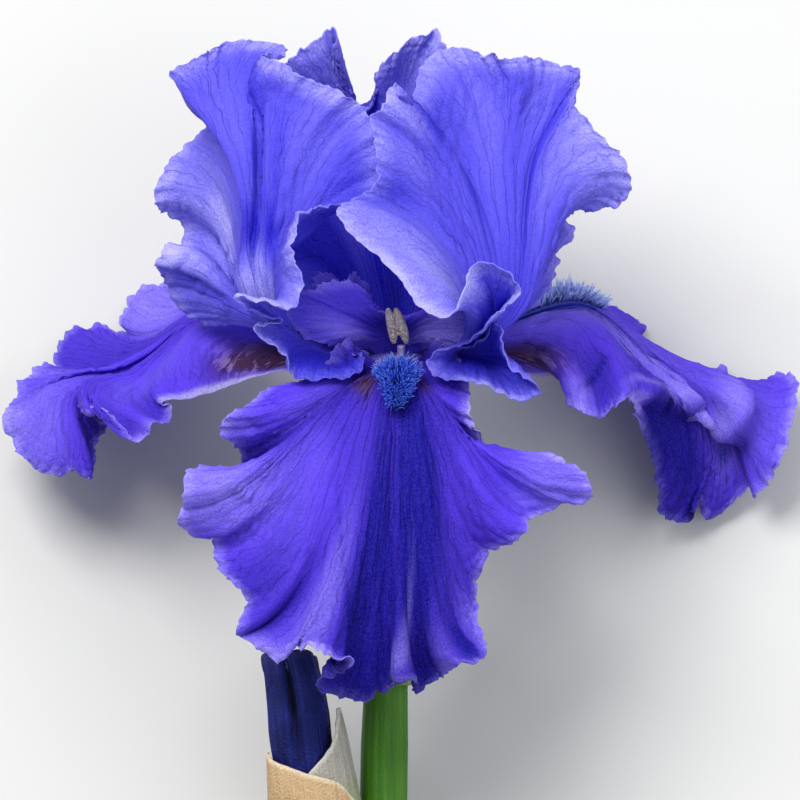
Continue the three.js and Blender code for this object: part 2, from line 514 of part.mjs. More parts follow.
const BEARDS = [
  {
    name: "beard_front",
    path: [[0.3, -19.4, 2.9], [0.4, -22.6, 2], [0.4, -26, 0.3], [0.2, -29.2, -2.3], [-0.4, -31.8, -5.6]],
    away: [[0, 0, 1], [0, -0.3, 1], [0, -0.6, 0.9], [0, -0.9, 0.5], [-0.1, -1, 0.1]],
    halfWidth: 2.3, halfHeight: 0.7, rows: 8, abreast: 6, length: 3.8, splay: 2.6, seed: 11,
  },
  {
    name: "beard_left",
    path: [[-20.5, 11.8, 10.3], [-24, 13.8, 11.6], [-28, 15.8, 12.7], [-32, 17.6, 13.4], [-36, 19.4, 13.8]],
    away: [[0.2, -0.1, 1], [0.2, -0.1, 1], [0.15, -0.1, 1], [0.1, -0.1, 1], [0, -0.1, 1]],
    halfWidth: 1.6, halfHeight: 0.6, rows: 9, abreast: 3, length: 3.8, splay: 2, seed: 23,
  },
  {
    name: "beard_right",
    path: [[22, 12.2, 12.8], [27, 14.4, 14.8], [32, 16.8, 16.5], [36.6, 19, 17], [41, 21, 16]],
    away: [[-0.2, -0.1, 1], [-0.2, -0.1, 1], [-0.1, -0.1, 1], [0, -0.1, 1], [0.1, -0.1, 1]],
    halfWidth: 1.7, halfHeight: 0.6, rows: 10, abreast: 3, length: 4.4, splay: 2, seed: 37,
  },
];

for (const beard of BEARDS) {
  addPiece(beard.name, beardSolid(beard), 0x2f5bd0, 0.8);
}

// The ovary, and the tube above it that carries the petals
const OVARY_PROFILE = [
  [-45, 3.6], [-42, 4.6], [-36, 5.4], [-30, 5.2], [-24, 3.9], [-18, 3.1], [-10, 3.1], [-4, 3.7], [0, 4.5],
  [1.8, 4.5], [3, 2.9], [4.6, 1.9], [5, 1.2],
];
const ribbed = (radius, ribs, depth) => (angle) => radius * (1 + depth * Math.cos(ribs * angle));
const ovaryRings = OVARY_PROFILE.map(([z, radius]) => {
  const around = ribbed(radius, 3, z < -22 ? 0.06 : 0);
  return Array.from({ length: 18 }, (_, s) => {
    const angle = (2 * Math.PI * s) / 18;
    const drift = (z / 45) ** 2;
    return new THREE.Vector3(
      around(angle) * Math.sin(angle) - 1.5 * drift, -around(angle) * Math.cos(angle) + 0.5 * drift, z);
  });
});
addPiece("ovary", loftSolid(ovaryRings), 0x6d8a4a);

// The stem, with the short side branch that carries the bud
const STEM = [[-2.5, 2, CUT_Z], [-2.5, 1.6, -100], [-2.4, 1.2, -75], [-1.6, 0.6, -45.4]];
const BRANCH = [[-2.6, 1.6, -116], [-6, 0, -109.5], [-9.6, -1.8, -104], [-11.4, -2.7, -100.4], [-12.6, -3.1, -96.4]];
const stemRadius = (t) => lerp(STEM_RADIUS, 3.9, clamp((t - 0.7) / 0.3, 0, 1));
const stem = toManifold(tubeSolid(through(STEM), stemRadius, 10, 18));
const branch = toManifold(tubeSolid(through(BRANCH), (t) => lerp(3.4, 3, t), 5, 12));
addPiece("stem", fromManifold(stem.add(branch)), 0x4f8434);

// Papery sheaths. One is a sheet wrapped round a part of the stem: its rows climb from its foot to a
// slanting top edge, round an axis that leans and swells with height.
const degrees = (angle) => THREE.MathUtils.degToRad(angle);

// Interpolates a table of [key, value, ...] rows at a key.
function fromTable(table, key) {
  if (key <= table[0][0]) return table[0].slice(1);
  for (let k = 1; k < table.length; k++) {
    if (key <= table[k][0]) {
      const share = (key - table[k - 1][0]) / (table[k][0] - table[k - 1][0]);
      return table[k].slice(1).map((value, n) => lerp(table[k - 1][n + 1], value, share));
    }
  }
  return table.at(-1).slice(1);
}

// body: rows of [z, centre x, centre y, half width, half depth]; top: rows of [angle, z], with the
// angle 0 at the front and 90 at the right.
function sheathSolid({ body, top, foot, waves = 0 }, across, along) {
  const [from, to] = [top[0][0], top.at(-1)[0]];
  const grid = Array.from({ length: across + 1 }, (_, i) => {
    const angle = lerp(from, to, i / across);
    const [edge] = fromTable(top, angle);
    return Array.from({ length: along + 1 }, (_, j) => {
      const z = lerp(foot, edge, j / along);
      const [x, y, width, depth] = fromTable(body, z);
      const wave = 1 + waves * (j / along) ** 2 * Math.sin(degrees(angle * 5));
      return new THREE.Vector3(
        x + Math.sin(degrees(angle)) * width * wave, y - Math.cos(degrees(angle)) * depth * wave, z);
    });
  });
  return sheetSolid(grid, () => SPATHE_THICK);
}

// The two sheaths round the ovary
const NECK_BODY = [
  [-56, -2, 1, 5.1, 5.1], [-50, -1.8, 0.8, 5.9, 5.9], [-38, -1.2, 0.4, 6.8, 6.8], [-28, -0.6, 0.2, 6, 6],
  [-20, -0.3, 0.2, 5.2, 5.2],
];
const NECK_BODY_OUTER = [
  [-60, -2, 1, 5.2, 5.2], [-56, -2, 1, 6.1, 6.1], [-50, -1.8, 0.8, 7, 7], [-38, -1.2, 0.4, 7.8, 7.8],
  [-28, -0.6, 0.2, 7, 7],
];
addPiece("sheath_outer", sheathSolid({
  body: NECK_BODY_OUTER, foot: -60, waves: 0.02,
  top: [[20, -48], [60, -41], [120, -32], [180, -26], [230, -34], [290, -43], [320, -49]],
}, 14, 6), 0x9a9a6a);
addPiece("sheath_inner", sheathSolid({
  body: NECK_BODY, foot: -56, waves: 0.02,
  top: [[-150, -46], [-100, -36], [-50, -27], [0, -22], [50, -28], [100, -37], [140, -47]],
}, 14, 6), 0xa8aa78);

// The bud: a closed bloom, dark and creased, with a hollow at its rolled top
const BUD = [
  [-95, -13.2, -3.2, 3, 0], [-90, -14.6, -3.4, 4.6, 0], [-83, -16.4, -3.6, 5.6, 0.03],
  [-76, -17.9, -3.8, 6, 0.05], [-70, -18.7, -4, 6.1, 0.07], [-65, -19.1, -4, 6, 0.08],
  [-60, -19.8, -4, 5.7, 0.1], [-56.4, -20.6, -4, 5.4, 0.11], [-54.2, -21, -4, 5.3, 0.12],
  [-53.6, -21, -4, 4.4, 0.12], [-55.6, -20.8, -4, 3, 0.1],
];
const budRings = BUD.map(([z, x, y, radius, crease], k) =>
  Array.from({ length: 20 }, (_, s) => {
    const angle = (2 * Math.PI * s) / 20;
    const twist = 0.12 * k;
    const slit = 0.3 * Math.exp(-(((angle - 6.1 + 0.02 * k) / 0.22) ** 2)) * clamp((k - 3) / 3, 0, 1);
    const fold = 1 + crease * Math.sin(3 * angle + twist) + 0.4 * crease * Math.sin(7 * angle) - slit;
    return new THREE.Vector3(
      x + Math.sin(angle) * radius * fold, y - Math.cos(angle) * radius * fold * 0.86,
      z + crease * 6 * Math.sin(2 * angle + 0.7));
  }));
addPiece("bud", loftSolid(budRings), 0x191b5e, 0.5);

// Its two sheaths: a tan outer one open to the right, and a grey inner one with its point there
const BUD_BODY = [
  [-98, -12.1, -2.95, 3.6, 3.6], [-95, -13, -3.2, 4.3, 4.1], [-90, -14.2, -3.5, 6.6, 5.6],
  [-83, -15.8, -3.8, 8.6, 6.8], [-76, -16.8, -4, 8, 6.8], [-70, -17.6, -4.2, 7.6, 6.8],
  [-64, -18.6, -4.4, 7, 6.6],
];
const BUD_BODY_OUTER = [
  [-101, -11.2, -2.6, 3.7, 3.7], [-98, -12.1, -2.95, 4.7, 4.7], [-95, -13, -3.2, 5.4, 5.2],
  [-90, -14.2, -3.5, 7.7, 6.7], [-83, -15.8, -3.8, 9.7, 7.9], [-76, -16.8, -4, 9.1, 7.9],
  [-70, -17.6, -4.2, 8.7, 7.9],
];
addPiece("bud_sheath_outer", sheathSolid({
  body: BUD_BODY_OUTER, foot: -101, waves: 0.05,
  top: [[-190, -86], [-140, -78], [-100, -74.6], [-80, -73.4], [-50, -75.2], [-10, -77.4], [30, -79.4], [60, -84]],
}, 16, 6), 0xc9a275);
addPiece("bud_sheath_inner", sheathSolid({
  body: BUD_BODY, foot: -98, waves: 0.02,
  top: [[-10, -78], [20, -74], [45, -70.4], [70, -65.4], [85, -64.6], [110, -68], [150, -74], [200, -82]],
}, 14, 6), 0xaaa898);

flower.rotation.x = THREE.MathUtils.degToRad(LIE_DEG - 90);
const root = new THREE.Group();
root.add(flower);
root.updateMatrixWorld(true);
const box = new THREE.Box3().setFromObject(root, true);
const centre = box.getCenter(new THREE.Vector3());
root.position.set(-centre.x, -centre.y, -box.min.z);

export default root;
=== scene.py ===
import math

import bpy
import numpy as np
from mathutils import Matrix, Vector


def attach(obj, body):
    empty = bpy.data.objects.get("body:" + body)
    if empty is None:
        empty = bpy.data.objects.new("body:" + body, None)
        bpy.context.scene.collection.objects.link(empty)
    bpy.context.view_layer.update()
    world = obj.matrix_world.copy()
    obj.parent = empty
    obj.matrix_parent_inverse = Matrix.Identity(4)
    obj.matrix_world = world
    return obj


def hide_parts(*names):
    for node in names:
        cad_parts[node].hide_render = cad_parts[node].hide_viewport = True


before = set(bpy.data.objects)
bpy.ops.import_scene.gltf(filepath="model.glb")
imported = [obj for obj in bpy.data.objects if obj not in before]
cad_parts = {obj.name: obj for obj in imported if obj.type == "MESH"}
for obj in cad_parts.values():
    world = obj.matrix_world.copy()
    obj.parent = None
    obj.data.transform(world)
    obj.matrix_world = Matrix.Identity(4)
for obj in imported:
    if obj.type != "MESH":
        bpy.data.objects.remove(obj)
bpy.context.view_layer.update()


# Stem. A solid round flower stalk, cut at its foot, with one short side branch that carries the bud.
# It is smooth and green under a thin grey-blue wax that rubs off in patches. Everything is drawn
# upright in millimetres from the heart, x to the right, y away from the front, z up, then laid down.
LIE = math.radians(18)
HEART = np.array((-0.9091, 24.5711, 45.0914))  # the heart's place in the lying flower
CUT_Z = -125
STEM_PATH = [(-2.5, 2, CUT_Z), (-2.5, 1.6, -100), (-2.4, 1.2, -75), (-1.6, 0.6, -45.4)]
STEM_RADIUS, NECK_RADIUS = 4.7, 3.9
NECK_START, NECK_SHARE = 0.7, 0.3  # where on its path the stem starts to narrow, and over how much of it
STEM_AXIS_X = -2.4
STEM_STEPS, STEM_SIDES = 90, 64
CUT_RINGS = [(0.5, 0.5), (0.94, 0.06)]  # each ring of the cut face: its share of the rim and of the middle
BRANCH_PATH = [
    (-2.6, 1.6, -116), (-6, 0, -109.5), (-9.6, -1.8, -104), (-11.4, -2.7, -100.4), (-12.6, -3.1, -96.4)]
BRANCH_RADIUS, BRANCH_TAPER = 3.4, 0.4
BRANCH_STEPS, BRANCH_SIDES = 24, 40
STEM_GREEN = (0.030, 0.125, 0.003, 1)
STEM_DARK = (0.012, 0.068, 0.002, 1)
STEM_WAX = (0.085, 0.24, 0.022, 1)
PITH = (0.50, 0.60, 0.34, 1)


def lay(points):
    """Upright millimetres as metres in the lying flower."""
    x, y, z = np.moveaxis(np.asarray(points, float), -1, 0)
    lain = np.stack((x, y * math.sin(LIE) + z * math.cos(LIE), z * math.sin(LIE) - y * math.cos(LIE)), -1)
    return (lain + HEART) / 1000


def through(points):
    """A smooth curve through given points, each the same step of t apart."""
    points = np.array(points, float)
    last = len(points) - 1
    ends = 2 * points[0] - points[1], 2 * points[-1] - points[-2]
    padded = np.vstack((ends[0], points, ends[1]))

    def at(t):
        place = np.clip(t, 0, 1) * last
        k = np.minimum(place.astype(int), last - 1)
        w = (place - k)[..., None]
        before, start, end, after = (padded[k + n] for n in range(4))
        leave, arrive = (end - before) / 2, (after - start) / 2
        return (start + w * leave + w**2 * (3 * (end - start) - 2 * leave - arrive)
                + w**3 * (2 * (start - end) + leave + arrive))
    return at


def unit(vectors):
    """The same directions, one long."""
    return vectors / np.maximum(np.linalg.norm(vectors, axis=-1, keepdims=True), 1e-9)


def smoothstep(low, high, x):
    """0 up to low and 1 from high on, with a smooth rise between."""
    t = np.clip((x - low) / (high - low), 0, 1)
    return t * t * (3 - 2 * t)


def add_piece(name, points, faces, material, node, corners=None, readings=None):
    """Adds a piece from upright points, with its map's corners and what its material reads at each point."""
    mesh = bpy.data.meshes.new(name)
    mesh.from_pydata(lay(points).tolist(), [], faces)
    mesh.polygons.foreach_set("use_smooth", [True] * len(mesh.polygons))
    if corners is not None:
        mesh.uv_layers.new(name="OFBake").data.foreach_set("uv", np.asarray(corners, np.float32).ravel())
    for key, values in (readings or {}).items():
        made = mesh.attributes.new(key, "FLOAT", "POINT")
        made.data.foreach_set("value", np.asarray(values, np.float32).ravel())
    mesh.update()
    mesh.materials.append(material)
    piece = bpy.data.objects.new(name, mesh)
    bpy.context.scene.collection.objects.link(piece)
    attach(piece, "root")
    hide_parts(node)


def direction_of(path, t, step):
    """The direction of a path at t, taken over a step before and after it."""
    return unit(path(np.minimum(t + step, 1)) - path(np.maximum(t - step, 0)))


def rings_along(path, radius_at, steps, sides):
    """Rings round a path.

    radius_at takes t and the angle, which is 0 at the front and grows to the right.
    """
    t = np.linspace(0, 1, steps + 1)
    centre = path(t)
    tangent = direction_of(path, t, 0.02)
    right = unit(np.array((1.0, 0, 0)) - tangent * tangent[:, :1])
    front = -np.cross(right, tangent)
    angle = np.linspace(0, 2 * np.pi, sides, endpoint=False)
    radius = np.broadcast_to(radius_at(t[:, None], angle[None, :]), (steps + 1, sides))[..., None]
    return (centre[:, None] + right[:, None] * np.sin(angle)[None, :, None] * radius
            + front[:, None] * np.cos(angle)[None, :, None] * radius)


def loft(rings):
    """Points, faces and map corners of a solid through rings of points, its two ends closed.

    On the map the walls lie below and the two ends are small discs above them, at the left.
    """
    count, sides = rings.shape[:2]
    at = np.arange(count * sides).reshape(count, sides)
    beside = np.roll(at, -1, axis=1)
    walls = np.stack((at[:-1], beside[:-1], beside[1:], at[1:]), -1).reshape(-1, 4)
    left_edge, right_edge, foot_edge, top_edge = 0.01, 0.99, 0.01, 0.89
    u, v = np.linspace(left_edge, right_edge, sides + 1), np.linspace(foot_edge, top_edge, count)[:, None]
    corners = np.stack([np.stack(np.broadcast_arrays(across, up), -1) for across, up in (
        (u[:-1], v[:-1]), (u[1:], v[:-1]), (u[1:], v[1:]), (u[:-1], v[1:]))], -2).reshape(-1, 2)
    turn = np.linspace(0, 2 * np.pi, sides, endpoint=False)
    disc_radius, first_disc, last_disc = 0.04, (0.05, 0.95), (0.15, 0.95)
    disc = np.stack((np.cos(turn), np.sin(turn)), -1) * disc_radius
    points = rings.reshape(-1, 3)
    faces = walls.tolist() + [at[0][::-1].tolist(), at[-1].tolist()]
    corners = np.vstack((corners, disc[::-1] + first_disc, disc + last_disc))
    first = points[np.array(faces[0])]
    faces_out = np.cross(first[1] - first[0], first[2] - first[0]) @ (first[0] - rings[0].mean(0)) >= 0
    if not faces_out:
        starts = np.concatenate(([0], np.cumsum([len(face) for face in faces])))
        corners = np.vstack([corners[a:b][::-1] for a, b in zip(starts[:-1], starts[1:])])
        faces = [face[::-1] for face in faces]
    return points, faces, corners


def put(tree, kind, inputs=None, **settings):
    """Adds a node. inputs holds a value, or a socket to link from, for each socket by name or number."""
    made = tree.nodes.new(kind)
    for name, value in settings.items():
        setattr(made, name, value)
    for socket, value in (inputs or {}).items():
        if isinstance(value, bpy.types.NodeSocket):
            tree.links.new(value, made.inputs[socket])
        else:
            made.inputs[socket].default_value = value
    return made


def calc(tree, operation, *values):
    """A sum, a product or the like of values and sockets."""
    return put(tree, "ShaderNodeMath", dict(enumerate(values)), operation=operation).outputs[0]


def ramp(tree, value, low, high, to_low=0.0, to_high=1.0):
    """A smooth step of a value from low to high."""
    return put(tree, "ShaderNodeMapRange", {0: value, 1: low, 2: high, 3: to_low, 4: to_high},
               interpolation_type="SMOOTHSTEP").outputs[0]


def tint(tree, amount, under, over):
    """Lays one colour over another by an amount."""
    return put(tree, "ShaderNodeMix", {0: amount, 6: under, 7: over}, data_type="RGBA").outputs[2]


def reading(tree, name):
    """What the piece tells its material at each point, by its name."""
    return put(tree, "ShaderNodeAttribute", attribute_name=name).outputs["Fac"]


def new_group(name, inputs, outputs):
    """A group of nodes with named sockets, its inputs each with a number or a colour."""
    tree = bpy.data.node_groups.new(name, "ShaderNodeTree")
    for socket, value in inputs.items():
        kind = "NodeSocketColor" if isinstance(value, tuple) else "NodeSocketFloat"
        tree.interface.new_socket(name=socket, in_out="INPUT", socket_type=kind).default_value = value
    for socket, kind in outputs.items():
        tree.interface.new_socket(name=socket, in_out="OUTPUT", socket_type=kind)
    return tree, tree.nodes.new("NodeGroupInput").outputs, tree.nodes.new("NodeGroupOutput").inputs


def use_group(tree, group, inputs):
    """Places a group in a material or in another group, with values of its own."""
    return put(tree, "ShaderNodeGroup", inputs, node_tree=group).outputs


def new_material(name, **constants):
    """A material, its nodes and its shader, with the shader's plain values set on its own sockets."""
    material = bpy.data.materials.new(name)
    material.use_nodes = True
    tree = material.node_tree
    shader = tree.nodes["Principled BSDF"]
    for socket, value in constants.items():
        shader.inputs[socket.replace("_", " ")].default_value = value
    return material, tree, shader


# The fibres group draws fine lines along a piece, from a coordinate across it and one along it in mm.
fibres, given, result = new_group(
    "fibres", {"Across": 0.0, "Along": 0.0, "Fineness": 1.0, "Length": 20.0}, {"Mask": "NodeSocketFloat"})
place = put(fibres, "ShaderNodeCombineXYZ", {
    0: calc(fibres, "MULTIPLY", given["Across"], given["Fineness"]),
    1: calc(fibres, "DIVIDE", given["Along"], given["Length"])}).outputs[0]
strands = put(fibres, "ShaderNodeTexNoise", {
    "Vector": place, "Scale": 1.0, "Detail": 3.0, "Roughness": 0.6}).outputs[0]
fibres.links.new(ramp(fibres, strands, 0.3, 0.7), result["Mask"])

# The grain group draws an even fine mottle, by its size in millimetres.
grain, given, result = new_group(
    "grain", {"Size": 1.0, "Low": 0.3, "High": 0.7}, {"Mask": "NodeSocketFloat"})
where = put(grain, "ShaderNodeTexCoord").outputs["Object"]
speckle = put(grain, "ShaderNodeTexNoise", {
    "Vector": where, "Scale": calc(grain, "DIVIDE", 1000.0, given["Size"]), "Detail": 2.0}).outputs[0]
spread = put(grain, "ShaderNodeMapRange", {0: speckle, 1: given["Low"], 2: given["High"]}).outputs[0]
grain.links.new(spread, result["Mask"])


def fibre_mask(tree, across, along, fineness, length):
    """Fine lines, so many to the millimetre across and so long."""
    return use_group(tree, fibres, {
        "Across": across, "Along": along, "Fineness": fineness, "Length": length})["Mask"]


def grain_mask(tree, size, low, high):
    """A mottle of a size in millimetres. It is 0 where the noise is below low, and 1 above high."""
    return use_group(tree, grain, {"Size": size, "Low": low, "High": high})["Mask"]


def dress(tree, shader, colour, height, strength, distance):
    """Gives a shader its colour and its bumps, with their distance in metres. Returns the bumps' normal."""
    tree.links.new(colour, shader.inputs["Base Color"])
    bump = put(tree, "ShaderNodeBump", {"Strength": strength, "Distance": distance, "Height": height})
    tree.links.new(bump.outputs[0], shader.inputs["Normal"])
    return bump.outputs[0]


stem_material, tree, shader = new_material("stem_green", Roughness=0.45, Specular_IOR_Level=0.2)
around, along = reading(tree, "around"), reading(tree, "along")
lines = fibre_mask(tree, around, along, fineness=1.1, length=30.0)
wide = fibre_mask(tree, around, along, fineness=0.28, length=90.0)
rubbed = grain_mask(tree, size=7.0, low=0.35, high=0.75)
fine = grain_mask(tree, size=0.5, low=0.3, high=0.7)
green = tint(tree, calc(tree, "MULTIPLY", lines, 0.6), STEM_GREEN, STEM_DARK)
wax = calc(tree, "MULTIPLY", wide, calc(tree, "MULTIPLY_ADD", rubbed, 0.5, 0.5))
green = tint(tree, calc(tree, "MULTIPLY", wax, 0.75), green, STEM_WAX)
pith = calc(tree, "MULTIPLY", reading(tree, "cut"), calc(tree, "MULTIPLY_ADD", fine, 0.35, 0.5))
green = tint(tree, pith, green, PITH)
dress(tree, shader, green, calc(tree, "ADD", lines, fine), strength=0.5, distance=0.00015)


def stem_radius(t, angle):
    """Slightly fluted, and narrower at the neck."""
    ribs = 1 + 0.012 * np.cos(7 * angle + 0.6) + 0.008 * np.cos(12 * angle)
    narrowing = np.clip((t - NECK_START) / NECK_SHARE, 0, 1)
    return (STEM_RADIUS + (NECK_RADIUS - STEM_RADIUS) * narrowing) * ribs


def branch_radius(t, angle):
    """Narrower towards the bud, with six faint ribs."""
    return (BRANCH_RADIUS - BRANCH_TAPER * t) * (1 + 0.012 * np.cos(6 * angle))


def add_joined(name, lofts, material, node, readings_of):
    """Adds a piece of solids joined into one skin, with readings worked out from its points."""
    made = []
    for points, faces, _ in lofts:
        mesh = bpy.data.meshes.new(name)
        mesh.from_pydata(np.asarray(points).tolist(), [], faces)
        made.append(bpy.data.objects.new(name + "_part", mesh))
        bpy.context.scene.collection.objects.link(made[-1])
    for part in made[1:]:
        union = made[0].modifiers.new("join", "BOOLEAN")
        union.operation, union.object, union.solver = "UNION", part, "EXACT"
    shape = bpy.data.meshes.new_from_object(made[0].evaluated_get(bpy.context.evaluated_depsgraph_get()))
    points = np.array([v.co for v in shape.vertices])
    faces = [list(p.vertices) for p in shape.polygons]
    for part in made:
        bpy.data.objects.remove(part)
    add_piece(name, points, faces, material, node, readings=readings_of(points))


def stem_readings(points):
    """The way round the stem and along it in millimetres, and 1 on the cut face."""
    x, y, z = points.T
    return {"around": np.arctan2(x - STEM_AXIS_X, -y) * STEM_RADIUS, "along": z,
            "cut": (z < CUT_Z + 0.05).astype(float)}


stem = rings_along(through(STEM_PATH), stem_radius, STEM_STEPS, STEM_SIDES)
stem = np.concatenate(([stem[0] * rim + stem[0].mean(0) * middle for rim, middle in CUT_RINGS], stem))
stem[:len(CUT_RINGS), :, 2] = CUT_Z
branch = rings_along(through(BRANCH_PATH), branch_radius, BRANCH_STEPS, BRANCH_SIDES)
add_joined("flower_stem", [loft(stem), loft(branch)], stem_material, "stem", stem_readings)


# Ovary. The seed case below the heart, three-ribbed and smooth green, runs up into the slim tube that
# carries all the petals, the stamens and the style arms. It grows out of the top of the stem.
OVARY_PROFILE = [  # heights and radii. The top is a cup that closes the throat between the petals' claws.
    (-45, 3.6), (-42, 4.6), (-36, 5.4), (-30, 5.2), (-24, 3.9), (-18, 3.1), (-10, 3.1), (-4, 3.7), (0, 4.5),
    (1.4, 5.1), (2.8, 6.0), (4.2, 6.7), (5.2, 6.5), (6.2, 4.4), (6.8, 1.4)]
OVARY_STEPS, OVARY_SIDES = 96, 72
OVARY_RIB = 0.06  # height of its three ribs, as a share of its radius
RIBS_END, RIBS_FULL = -18, -26
VIOLET_FROM, VIOLET_FULL = -9.0, 0.0
OVARY_LENGTH, OVARY_MEAN_RADIUS = 45, 4
OVARY_LEAN = (-1.5, 0.5)  # how far its foot stands to the side and to the back, to meet the stem
OVARY_GREEN = (0.11, 0.22, 0.045, 1)
OVARY_PALE = (0.26, 0.36, 0.13, 1)
TUBE_VIOLET = (0.13, 0.09, 0.42, 1)

ovary_material, tree, shader = new_material("ovary_green", Roughness=0.48, Specular_IOR_Level=0.3)
around, along = reading(tree, "around"), reading(tree, "along")
lines = fibre_mask(tree, around, along, fineness=1.6, length=14.0)
green = tint(tree, calc(tree, "MULTIPLY", lines, 0.5), OVARY_GREEN, OVARY_PALE)
green = tint(tree, ramp(tree, along, VIOLET_FROM, VIOLET_FULL), green, TUBE_VIOLET)
dress(tree, shader, green, lines, strength=0.4, distance=0.0002)

profile = through(OVARY_PROFILE)(np.linspace(0, 1, OVARY_STEPS))
turn = np.linspace(0, 2 * np.pi, OVARY_SIDES, endpoint=False)
z, swell = profile[:, :1], OVARY_RIB * smoothstep(RIBS_END, RIBS_FULL, profile[:, :1])
radius = profile[:, 1:] * (1 + swell * np.cos(3 * turn))
drift = (z / OVARY_LENGTH) ** 2
ovary = np.stack((
    radius * np.sin(turn) + OVARY_LEAN[0] * drift, OVARY_LEAN[1] * drift - radius * np.cos(turn),
    np.broadcast_to(z, radius.shape)), -1)
points, faces, corners = loft(ovary)
add_piece("seed_case", points, faces, ovary_material, "ovary", corners,
          {"around": np.tile(turn * OVARY_MEAN_RADIUS, (OVARY_STEPS, 1)), "along": points[:, 2]})


# Sheaths at the neck. Two thin leaves wrap the seed case, one inside the other, and end in slanting
# points. They are green and juicy at the foot and dry to a papery edge, with fine parallel veins.
SHEATH_THICK = 0.55
NECK_GRID = (90, 48)  # cells across and along
NECK_WAVES = 0.02
NECK_BODY = [
    (-56, -2, 1, 5.1, 5.1), (-50, -1.8, 0.8, 5.9, 5.9), (-38, -1.2, 0.4, 6.8, 6.8), (-28, -0.6, 0.2, 6, 6),
    (-20, -0.3, 0.2, 5.2, 5.2)]
NECK_BODY_OUTER = [
    (-60, -2, 1, 5.2, 5.2), (-56, -2, 1, 6.1, 6.1), (-50, -1.8, 0.8, 7, 7), (-38, -1.2, 0.4, 7.8, 7.8),
    (-28, -0.6, 0.2, 7, 7)]
NECK_TOP = [(-150, -46), (-100, -36), (-50, -27), (0, -22), (50, -28), (100, -37), (140, -47)]
NECK_TOP_OUTER = [(20, -48), (60, -41), (120, -32), (180, -26), (230, -34), (290, -43), (320, -49)]
SHEATH_GREEN = (0.16, 0.27, 0.06, 1)
SHEATH_DRY = (0.52, 0.45, 0.27, 1)
SHEATH_EDGE = (0.66, 0.60, 0.44, 1)
SHEATH_VEIN = (0.05, 0.04, 0.02, 1)


def sheet(grid, thick, readings):
    """Points, faces, map corners and readings of a thin solid sheet from a grid of points.

    On the map its front lies at the left and its back at the right, with the narrow edges round them.
    """
    rows, columns = grid.shape[:2]
    normal = unit(np.cross(np.gradient(grid, axis=1), np.gradient(grid, axis=0)))
    half_thick = normal * np.broadcast_to(thick, (rows, columns))[..., None] / 2
    points = np.concatenate((grid + half_thick, grid - half_thick)).reshape(-1, 3)
    half = rows * columns
    at = np.arange(half).reshape(rows, columns)
    u, v = np.linspace(0.01, 0.48, columns), np.linspace(0.01, 0.99, rows)
    near, far = 0.002, 0.006  # the narrow edges' strips, measured from the map's border
    front_map = np.stack(np.broadcast_arrays(u[None, :], v[:, None]), -1)
    back_map = front_map * (-1, 1) + (1, 0)
    quads, maps = [], []

    def add(a, b, c, d, ma, mb, mc, md):
        """Faces with corners a to d, and their places on the map."""
        quads.append(np.stack((a, b, c, d), -1).reshape(-1, 4))
        maps.append(np.stack((ma, mb, mc, md), -2).reshape(-1, 2))

    def cells(values):
        """The four corners of each cell of a grid."""
        return values[:-1, :-1], values[1:, :-1], values[1:, 1:], values[:-1, 1:]

    def level(values, axis, place):
        """Places on the map moved onto one line."""
        moved = values.copy()
        moved[..., axis] = place
        return moved

    (a, b, c, d), (ma, mb, mc, md) = cells(at), cells(front_map)
    add(a, d, c, b, ma, md, mc, mb)
    ma, mb, mc, md = cells(back_map)
    add(a + half, b + half, c + half, d + half, ma, mb, mc, md)
    foot, tip, first, last = at[:, 0], at[:, -1], at[0], at[-1]
    strip = front_map[:, 0]
    low, high = level(strip, 0, near), level(strip, 0, far)
    add(foot[:-1], foot[1:], foot[1:] + half, foot[:-1] + half, high[:-1], high[1:], low[1:], low[:-1])
    add(tip[1:], tip[:-1], tip[:-1] + half, tip[1:] + half,
        front_map[1:, -1], front_map[:-1, -1], back_map[:-1, -1], back_map[1:, -1])
    strip = front_map[0]
    low, high = level(strip, 1, near), level(strip, 1, far)
    add(first[1:], first[:-1], first[:-1] + half, first[1:] + half, high[1:], high[:-1], low[:-1], low[1:])
    low, high = level(strip, 1, 1 - far), level(strip, 1, 1 - near)
    add(last[:-1], last[1:], last[1:] + half, last[:-1] + half, low[:-1], low[1:], high[1:], high[:-1])
    told = {key: np.tile(np.broadcast_to(values, (rows, columns)).ravel(), 2)
            for key, values in readings.items()}
    return points, np.vstack(quads).tolist(), np.vstack(maps), told


def sheath_grid(body, top, foot, waves, across, along):
    """A leaf wrapped round a leaning, swelling body, with its rows climbing from its foot to its top edge.

    body holds heights, the place of the axis, and the two radii. top holds angles and heights.
    """
    body, top = np.array(body, float), np.array(top, float)
    angle = np.linspace(top[0, 0], top[-1, 0], across + 1)[:, None]
    climb = np.linspace(0, 1, along + 1)[None, :]
    edge = through(top)(np.interp(angle, top[:, 0], np.linspace(0, 1, len(top))))[..., 1]
    z = foot + (edge - foot) * climb
    x, y, width, depth = (np.interp(z, body[:, 0], body[:, n]) for n in range(1, 5))
    turn = np.radians(angle)
    wave = 1 + waves * climb**2 * np.sin(5 * turn) + 0.012 * climb * np.sin(23 * turn)
    grid = np.stack((x + np.sin(turn) * width * wave, y - np.cos(turn) * depth * wave, z), -1)
    return grid, {"around": turn * width, "along": z, "climb": climb, "rim": (1 - climb) * (edge - foot)}


def let_light_through(tree, shader, colour, normal, share):
    """Lets a share of the light from behind glow through a thin skin in its own colour."""
    glow = put(tree, "ShaderNodeBsdfTranslucent", {"Color": colour, "Normal": normal})
    mixed = put(tree, "ShaderNodeMixShader", {0: share, 1: shader.outputs[0], 2: glow.outputs[0]})
    tree.links.new(mixed.outputs[0], tree.nodes["Material Output"].inputs[0])


